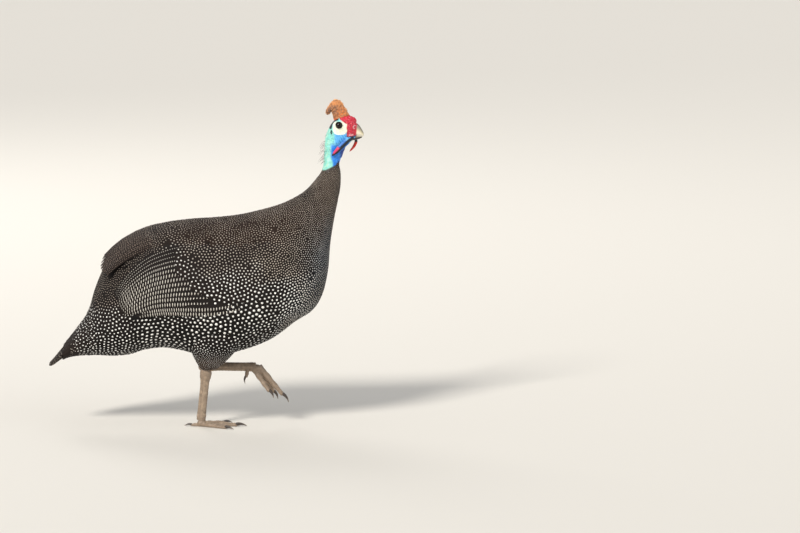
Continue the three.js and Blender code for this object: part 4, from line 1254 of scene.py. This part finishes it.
def thigh_spots(vanes, side, rng):
    """Spots of one thigh, as on the flank above and fine above the hock."""
    surface, steps = on_thigh(side)
    low = lambda rung, angle: 1 - ease(surface(rung, angle)[..., 2], 98, 128)
    rung, angle = scatter(steps, surface, lambda r, a: 6.6 - 3.9 * low(r, a), (0.3, 4.95), (-180, 180), 4, rounds=16)
    found, owner, s, aside = carried(vanes, rung, angle)
    size = (2.8 - 1.75 * low(rung, angle)[found]) * rng.uniform(0.84, 1.12, found.sum())
    return spots_on(vanes, owner[found], s[found], aside[found], size, size * 0.92, rng.uniform(-30, 30, found.sum()))


def thigh_tint(vanes, side, rng):
    """Black-brown like the flank above, browner above the hock."""
    coats = Coats("#171210", len(vanes.rung))
    coats.lay("#3a2c23", 1 - ease(on_thigh(side)[0](vanes.rung, vanes.angle)[:, 2], 95, 118))
    return coats.rgb * rng.uniform(0.85, 1.15, (len(vanes.rung), 1))


def eye_piece(side, material):
    """Eyeball with a slightly proud cornea; pupil, iris and rim are rings about its own axis."""
    polar = np.linspace(0.001, np.pi - 0.02, 64)[:, None]
    a = np.linspace(0, 2 * np.pi, 64, endpoint=False)[None]
    radius = EYE_RADIUS + 0.25 * (1 - ease(polar, 0.35, 0.75))
    rings = np.stack([radius * np.sin(polar) * np.cos(a), radius * np.cos(polar) + 0 * a,
                      radius * np.sin(polar) * np.sin(a)], -1)
    points, faces = closed_tube(rings)
    away = np.degrees(np.arccos(np.clip(points[:, 1] / np.linalg.norm(points, axis=1), -1, 1)))
    coats = Coats("#2a160d", len(points))
    coats.lay("#050404", 1 - ease(away, 19, 22))
    coats.lay("#0a0706", ease(away, 31, 37))
    centre = np.array((EYE_AT[0], MIDLINE - side * EYE_AT[1], EYE_AT[2]))
    name = "eye_ball_" + ("right" if side > 0 else "left")
    piece = faced_out(make_mesh(name, points * (1, -side, 1) + centre, faces))
    paint(piece, coats.rgb)
    return settle(piece, material, "eye", "eye_right" if side > 0 else "eye_left")


# Rungs of casque, upper bill and lower bill, as the body's.
CASQUE_RUNGS = np.array([
    (181, 413, 204, 413, 6.9, 0), (178.6, 421, 201.4, 421, 6.1, 0), (176.8, 427, 199.2, 427, 5.4, 0),
    (173, 431, 196.8, 431.5, 5.0, 0), (172.4, 436, 194, 436, 4.6, 0), (174.4, 440, 191.6, 440, 4, 0),
    (178, 443.4, 188.6, 443.4, 2.9, 0), (181, 445.1, 185, 445.1, 1.2, 0),
], float)
BILL_UPPER = np.array([
    (199, 416, 199, 395.6, 7, 0), (207, 414, 206, 395.6, 5.9, 0), (212.6, 411, 211.4, 395.7, 4.7, 0),
    (217, 405, 215.8, 395.9, 3.4, 0), (219.7, 399.4, 218.5, 394.8, 2.1, 0), (220.3, 395.2, 219.5, 392.9, 0.9, 0),
], float)
BILL_LOWER = np.array([
    (199, 395.2, 199, 389.6, 5.4, 0), (206, 395.2, 206, 389.6, 4.5, 0), (212, 395.2, 212, 390.8, 3.4, 0),
    (216.2, 395, 216, 392.3, 2.2, 0), (217.9, 394.6, 217.8, 393.5, 1, 0),
], float)


def oval_form(rungs, rows, sides):
    """Closed form of ovals over rungs."""
    rung, angle = np.linspace(0, len(rungs) - 1, rows), np.arange(0, 360, 360 / sides)
    grid = np.meshgrid(rung, angle, indexing="ij")
    return closed_tube(oval(curve_through(rungs, grid[0]), grid[1]))


def casque_piece(material):
    """Bony casque with its rear lobe, roughened by worn horn."""
    piece = faced_out(make_mesh("casque_horn", *oval_form(CASQUE_RUNGS, 60, 64)))
    united(piece, faced_out(make_mesh("part", *ball((173.2, MIDLINE, 430.4), (3.9, 4.2, 7.3), turn=29))))
    use_modifier(piece, "REMESH", mode="VOXEL", voxel_size=0.42 * MM, use_smooth_shade=True)
    use_modifier(piece, "SMOOTH", factor=0.5, iterations=8)
    at, normal = points_of(piece), normals_of(piece)
    rough = 0.42 * lump(at, 2, 7) + 0.28 * lump(at, 3, 3.2) + 0.14 * lump(at, 4, 1.5)
    ridge = 0.4 * np.abs(np.sin((at[:, 0] * 0.8 + at[:, 2] * 0.6 + 2 * lump(at, 6, 9)) * 0.9))
    top = ease(at[:, 2], 415, 421)
    move_points(piece, at + normal * ((rough - ridge + 0.1) * top)[:, None])
    paint(piece, casque_colours(at))
    return settle(piece, material, "casque_horn", "casque")


def bill_piece(name, rungs, node, material):
    """One half of the bill, tinted by rung and angle."""
    last, rows, sides = len(rungs) - 1, 60, 48
    piece = faced_out(make_mesh(name, *oval_form(rungs, rows, sides)))
    rung, angle = np.meshgrid(np.linspace(0, last, rows), np.arange(0, 360, 360 / sides), indexing="ij")
    rung, angle = np.append(rung.ravel(), (0, last)), np.append(angle.ravel(), (0, 180))
    paint(piece, bill_colours(rung, angle, name == "bill_top"))
    return settle(piece, material, "bill_horn", node)


def claw_pieces(material):
    """Claws: curved cones from the toes' ends, a little flattened, worn blunt."""
    parts, names, rows, sides = [], [], 22, 18
    for side in (1, -1):
        for name, (_, length, claw, high, wide) in TOES.items():
            t = np.linspace(0, 1, rows)[:, None]
            a = np.linspace(0, 2 * np.pi, sides, endpoint=False)[None]
            size = 1 - 0.86 * t**1.3
            x = length - 2 + (claw + 2) * t
            z = high * 0.29 + 1.2 * np.sin(np.pi * t) - 1.6 * t * t
            rings = np.stack([x + 0 * a, wide * 0.5 * size * np.sin(a), z + high * 0.28 * size * np.cos(a)], -1)
            if side > 0:
                rings[..., 2] = np.maximum(rings[..., 2], 0.1)
            points, faces = closed_tube(rings)
            parts.append((toe_place(side, name)(points), faces))
            names.append(f"claw_{'right' if side > 0 else 'left'}_{name}")
    piece = faced_out(make_mesh("claws", *joined(parts)))
    way = np.tile(np.append(np.repeat(np.linspace(0, 1, rows), sides), (0, 1)), len(parts))
    coats = Coats("#3c322b", len(way))
    coats.lay("#8a7b69", ease(way, 0.55, 1.0) * 0.8)
    paint(piece, coats.rgb)
    return settle(piece, material, "claw_horn", *names)


def limb_surface(path, radii):
    """A limb as a surface by way along, 0 to 1, and angle from its back."""
    path = np.array(path, float)

    def surface(t, angle, lift=0.0):
        t = np.clip(np.asarray(t, float), 0, 1)
        middle = lambda way: curve_through(path, np.clip(way, 0, 1) * (len(path) - 1))
        along = unit(middle(t + 0.01) - middle(t - 0.01))
        side = unit(np.array((0, 1.0, 0)) - along * along[..., 1:2])
        deep, wide = radii(t)
        c, s = np.cos(np.radians(angle)), np.sin(np.radians(angle))
        back = np.cross(side, along)
        return middle(t) + back * ((deep + lift) * c)[..., None] + side * ((wide + lift) * s)[..., None]

    return surface


def steps_on(surface):
    """Steps along and around a limb or toe, and its outward unit normal."""
    def steps(t, angle):
        small = 0.002
        along = (surface(t + small, angle) - surface(t - small, angle)) / (2 * small)
        around = (surface(t, angle + 0.1) - surface(t, angle - 0.1)) / 0.2
        normal = unit(np.cross(along, around))
        out = surface(t, angle, 1.0) - surface(t, angle, 0.0)
        return along, around, normal * np.sign((normal * out).sum(-1, keepdims=True))

    return steps


def scutes(side):
    """Scales of one leg, each overlapping the next towards the foot: large plates down the front and back of the shank,
    small ones on its sides, and one row over each toe."""
    groups = []
    rng = np.random.default_rng(60)
    shank = limb_surface(shank_path(side), shank_radii)
    unwrap = lambda t, a: np.stack([0.3 + 0.05 * side + a / 9000, 0.9 + 0.08 * t], -1)
    for middle, wide, long_, step in ((150, 4.0, 7.0, 0.066), (212, 4.0, 7.0, 0.066), (-28, 3.2, 6.0, 0.06),
                                      (28, 3.2, 6.0, 0.06), (92, 2.2, 4.4, 0.045), (-92, 2.2, 4.4, 0.045)):
        t = np.arange(0.1 + (0.5 * step if middle in (212, 28) else 0), 0.91, step)
        n = len(t)
        groups.append(Vanes(shank, steps_on(shank), unwrap, t - long_ / 150, middle + rng.normal(0, 1.5, n), long_,
                            wide, way=180.0, low=-0.25, high=0.42, cup=0.12, droop=0.1, tilt=0.0, thick=0.35))
    for name, (_, length, _, _, wide) in TOES.items():
        toe = toe_surface(side, name)
        t = np.arange(0.08, 0.9, 3.4 / length)
        groups.append(Vanes(toe, steps_on(toe), unwrap, t, 0 * t, 5.0 - 1.2 * t, wide * 1.05 * (1 - TOE_TAPER * t),
                            way=180.0, low=-0.2, high=0.4, cup=0.1, droop=0.1, tilt=0.0, thick=0.32))
    return groups


def filoplumes(material):
    """Thin black hair-like plumes on the nape: tapered stems that curve back and down."""
    rng = np.random.default_rng(40)
    parts = []
    for k in range(30):
        rung, angle = rng.uniform(21.8, 26.5), rng.normal(0, 34)
        root = on_body(np.array([rung]), np.array([angle]), -0.5)[0]
        away = on_body(np.array([rung]), np.array([angle]), 1.0)[0] - root
        away = away / np.linalg.norm(away)
        length = rng.uniform(5, 12) * (0.6 + 0.4 * bell(rung, 23.5, 2))
        drop = np.array((-0.35, 0, -0.75)) * length
        path = [root, root + away * length * 0.3 + drop * 0.15, root + away * length * 0.5 + drop * 0.5,
                root + away * length * 0.55 + drop * 0.95]
        parts.append(sweep(path, lambda t: 0.2 * (1 - 0.75 * t), lambda t: 0.2 * (1 - 0.75 * t), 10, 6))
    piece = faced_out(make_mesh("nape_plumes", *joined(parts)))
    return settle(piece, material, "plumage")


def look_at(thing, target):
    """Turns a light or camera towards a place."""
    ahead = Vector(target) - thing.location
    thing.rotation_euler = ahead.to_track_quat("-Z", "Y").to_euler()


def sheet_light(name, place, target, size, power, colour):
    """Round sheet of light of a size in metres and a power in watts."""
    light = bpy.data.lights.new(name, "AREA")
    light.shape, light.size, light.energy, light.color = "DISK", size, power, colour
    thing = bpy.data.objects.new(name, light)
    bpy.context.scene.collection.objects.link(thing)
    thing.location = place
    look_at(thing, target)


def sun_light(name, from_way, power, spread, colour):
    """Even light from one direction, softened by its spread in degrees."""
    light = bpy.data.lights.new(name, "SUN")
    light.energy, light.angle, light.color = power, math.radians(spread), colour
    thing = bpy.data.objects.new(name, light)
    bpy.context.scene.collection.objects.link(thing)
    thing.location = from_way
    look_at(thing, (0, 0, 0))




class GuineafowlLook(bpy.types.PropertyGroup):
    """Sizes that a user would change."""

    loft: FloatProperty(name="Feather loft", description="Height of the feather tips over the skin, in millimetres",
                        default=2.4, min=0.5, max=5.0, unit="NONE")
    coat_depth: FloatProperty(name="Coat depth",
                              description="How deep the skin lies under the feathers, in millimetres",
                              default=3.2, min=1.0, max=6.0)
    light: FloatProperty(name="Studio light", description="Strength of the studio light", default=1.0, min=0.0, max=5.0)
    floor_colour: FloatVectorProperty(name="Floor", description="Colour of the studio floor", subtype="COLOR", size=3,
                                      default=tuple(linear("#dcd8d0")), min=0.0, max=1.0)


def look():
    """The scene's sizes and colours."""
    return bpy.context.scene.guineafowl_look


class GUINEAFOWL_OT_skin(bpy.types.Operator):
    """Makes the one skin of trunk, neck, head and legs"""

    bl_idname = "guineafowl.skin"
    bl_label = "Skin"

    def execute(self, context):
        sizes = look()
        skin = head_skin()
        skin.name = skin.data.name = "skin"
        united(skin, trunk_skin(sizes.coat_depth))
        for side in (1, -1):
            rung, angle = np.meshgrid(np.linspace(0.3, LAST_THIGH - 0.1, 40), np.arange(0, 360, 7.5), indexing="ij")
            united(skin, faced_out(make_mesh("thigh", *closed_tube(on_thigh(side)[0](rung, angle, -1.6)))))
            united(skin, leg_skin(side))
        skin.data.polygons.foreach_set("use_smooth", np.ones(len(skin.data.polygons), bool))
        at = points_of(skin)
        colours = head_colours(at)
        high = at[:, 2] > 362
        for side in (1, -1):
            colours[high] = wattle_colours(colours[high], at[high], side)
        covered = 1 - ease(at[:, 2] - feather_edge(at[:, 0]), -1.5, 1.0)
        leg = 1 - ease(at[:, 2], 84, 92)
        colours = colours * (1 - covered[:, None]) + under_coat(at) * covered[:, None]
        colours = colours * (1 - leg[:, None]) + linear("#8a7866") * leg[:, None]
        paint(skin, colours)
        spotted = covered * (1 - leg) * (1 - ease(at[:, 2], 315, 335))  # none near the feathers' upper edge
        paint(skin, np.tile(spotted[:, None], (1, 3)), "covered")
        nodes = [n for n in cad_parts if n.split("_")[0] in
                 ("torso", "tail", "wing", "neck", "head", "wattle", "thigh", "tarsus", "toe")]
        settle(skin, skin_material(), "bare_skin", *nodes)
        return {"FINISHED"}


class GUINEAFOWL_OT_coat(bpy.types.Operator):
    """Lays the contour feathers and the wings' feathers, with their spots and bars"""

    bl_idname = "guineafowl.coat"
    bl_label = "Coat"

    def execute(self, context):
        feather, pearl = feather_material(), pearl_material()
        rng = np.random.default_rng(77)
        coat = body_vanes(look())
        sides = (1, -1)
        coverts, flights = [covert_vanes(side) for side in sides], [flight_vanes(side) for side in sides]
        primaries, tertials = [primary_vanes(side) for side in sides], [tertial_vanes(side) for side in sides]
        on_coat, *on_wings = contour_spots(coat, coverts, flights + primaries + tertials)
        feather_piece("coat_body", [(coat, CONTOUR_SHAPE, plume_colours(coat.rung, coat.angle, rng))], feather)
        spot_piece("spots_body", [(*on_coat, None)], pearl)
        for k, side, word in zip((0, 1), sides, ("right", "left")):
            # The primaries' near black is partly painted shade under the wing's lower edge.
            feathers = [(coverts[k], CONTOUR_SHAPE, "#1f1815"), (flights[k], LONG_SHAPE, "#1c1715"),
                        (tertials[k], LONG_SHAPE, "#241b17"), (primaries[k], LONG_SHAPE, "#110f0f")]
            feather_piece("wing_feathers_" + word, [(v, shape, varied(shade, len(v.rung), rng)) for v, shape, shade in
                                                    feathers], feather)
            on_tertials = spot_grid(tertials[k], 4, 34, 3.4, 1.2, rng)
            spot_piece("wing_spots_" + word, [(*on_wings[k], None),
                                              (flights[k], flight_bars(flights[k], side, rng), "#ddd6cb"),
                                              (tertials[k], on_tertials, "#9c8a7b")], pearl)
        return {"FINISHED"}


class GUINEAFOWL_OT_thighs(bpy.types.Operator):
    """Lays the short feathers of the thighs and their spots"""

    bl_idname = "guineafowl.thighs"
    bl_label = "Thighs"

    def execute(self, context):
        rng = np.random.default_rng(91)
        both = [(thigh_vanes(side), side) for side in (1, -1)]
        feather_piece("coat_thighs", [(v, CONTOUR_SHAPE, thigh_tint(v, side, rng)) for v, side in both],
                      bpy.data.materials["feather_keratin"])
        spot_piece("spots_thighs", [(v, thigh_spots(v, side, rng), None) for v, side in both],
                   bpy.data.materials["feather_white"])
        return {"FINISHED"}


class GUINEAFOWL_OT_scales(bpy.types.Operator):
    """Lays the scales of the shanks and toes"""

    bl_idname = "guineafowl.scales"
    bl_label = "Leg scales"

    def execute(self, context):
        rng = np.random.default_rng(64)
        plates = [group for side in (1, -1) for group in scutes(side)]
        feather_piece("leg_scales", [(v, CONTOUR_SHAPE, varied("#93806c", len(v.rung), rng)) for v in plates],
                      horn_material("leg_scale_horn", 240.0, 0.6, 0.0002, 0.62, 1.2), "leg_skin")
        return {"FINISHED"}


class GUINEAFOWL_OT_tail(bpy.types.Operator):
    """Lays the tail's feathers in tiers"""

    bl_idname = "guineafowl.tail"
    bl_label = "Tail"

    def execute(self, context):
        feather, pearl = bpy.data.materials["feather_keratin"], bpy.data.materials["feather_white"]
        rng = np.random.default_rng(55)
        tiers = tail_vanes()
        feather_piece("tail_feathers", [(v, LONG_SHAPE, varied("#1f1916", len(v.rung), rng)) for v in tiers], feather)
        spot_piece("tail_spots", [(v, tail_spots(v, rng), None) for v in tiers], pearl)
        return {"FINISHED"}


class GUINEAFOWL_OT_head_parts(bpy.types.Operator):
    """Makes the eyes, casque, bill, claws and nape plumes"""

    bl_idname = "guineafowl.head_parts"
    bl_label = "Eyes, horn and claws"

    def execute(self, context):
        eye = eye_material()
        for side in (1, -1):
            eye_piece(side, eye)
        casque_piece(horn_material("casque_horn", 330.0, 0.6, 0.0004, 0.7, 1.25))
        bill = horn_material("bill_horn", 260.0, 0.34, 0.00006, 0.86, 1.08)
        bill_piece("bill_top", BILL_UPPER, "bill_upper", bill)
        bill_piece("bill_under", BILL_LOWER, "bill_lower", bill)
        claw_pieces(horn_material("claw_horn", 300.0, 0.42, 0.0001, 0.7, 1.25))
        black, _, _ = new_material("black_plume", Base_Color=colour4("#14110f"), Roughness=0.6)
        filoplumes(black)
        return {"FINISHED"}


class GUINEAFOWL_OT_stage(bpy.types.Operator):
    """Makes the floor, the lights and the camera"""

    bl_idname = "guineafowl.stage"
    bl_label = "Stage"

    def execute(self, context):
        sizes = look()
        far = 40000.0  # so wide that its edge lies past the view from every side
        corners = [(x * far, y * far, 0) for x, y in ((-1, -1), (1, -1), (1, 1), (-1, 1))]
        floor = make_mesh("floor", corners, [(0, 1, 2, 3)])
        material, _, _ = new_material("floor_paint", Base_Color=(*sizes.floor_colour, 1.0), Roughness=0.8)
        floor.data.materials.append(material)
        aim = (-0.02, 0.0, 0.22)
        strength = sizes.light
        sun_light("key", (-0.5, -0.85, 0.72), 3.3 * strength, 14, (1.0, 0.965, 0.91))
        sun_light("fill", (0.9, -0.5, 0.35), 0.7 * strength, 60, (0.9, 0.95, 1.0))
        sheet_light("rim", (-1.2, 2.6, 2.2), aim, 1.8, 30 * strength, (1.0, 0.98, 0.95))
        world = bpy.data.worlds.new("studio")
        world.use_nodes = True
        world.node_tree.nodes["Background"].inputs["Color"].default_value = (0.86, 0.87, 0.9, 1)
        world.node_tree.nodes["Background"].inputs["Strength"].default_value = 0.5 * strength
        context.scene.world = world
        context.scene.view_settings.view_transform = "Standard"
        camera = bpy.data.objects.new("camera", bpy.data.cameras.new("camera"))
        context.scene.collection.objects.link(camera)
        # The frame shows 1.08 m at the bird, 6 m away; its middle in x and z is the photo's.
        away, tilt, frame_width, sensor = 6.0, math.radians(8), 1.08, 36.0
        target = Vector((0.26865, MIDLINE * MM, 0.2181))
        camera.location = target + Vector((0, -math.cos(tilt), math.sin(tilt))) * away
        look_at(camera, target)
        camera.data.sensor_width = sensor
        camera.data.lens = sensor * away / frame_width
        context.scene.camera = camera
        return {"FINISHED"}


class GUINEAFOWL_PT_panel(bpy.types.Panel):
    """Lists the sizes and the steps"""

    bl_label = "Guineafowl"
    bl_idname = "GUINEAFOWL_PT_panel"
    bl_space_type = "VIEW_3D"
    bl_region_type = "UI"
    bl_category = "Guineafowl"

    def draw(self, context):
        for name in ("loft", "coat_depth", "light", "floor_colour"):
            self.layout.prop(context.scene.guineafowl_look, name)
        for step in STEPS:
            self.layout.operator(step.bl_idname)


STEPS = (GUINEAFOWL_OT_stage, GUINEAFOWL_OT_skin, GUINEAFOWL_OT_coat, GUINEAFOWL_OT_thighs, GUINEAFOWL_OT_tail,
         GUINEAFOWL_OT_scales, GUINEAFOWL_OT_head_parts)
CLASSES = (GuineafowlLook, *STEPS, GUINEAFOWL_PT_panel)


def register():
    for each in CLASSES:
        bpy.utils.register_class(each)
    bpy.types.Scene.guineafowl_look = PointerProperty(type=GuineafowlLook)


def unregister():
    del bpy.types.Scene.guineafowl_look
    for each in reversed(CLASSES):
        bpy.utils.unregister_class(each)


def main():
    register()
    for step in ("stage", "skin", "coat", "thighs", "tail", "scales", "head_parts"):
        getattr(bpy.ops.guineafowl, step)()


if __name__ == "__main__":
    main()
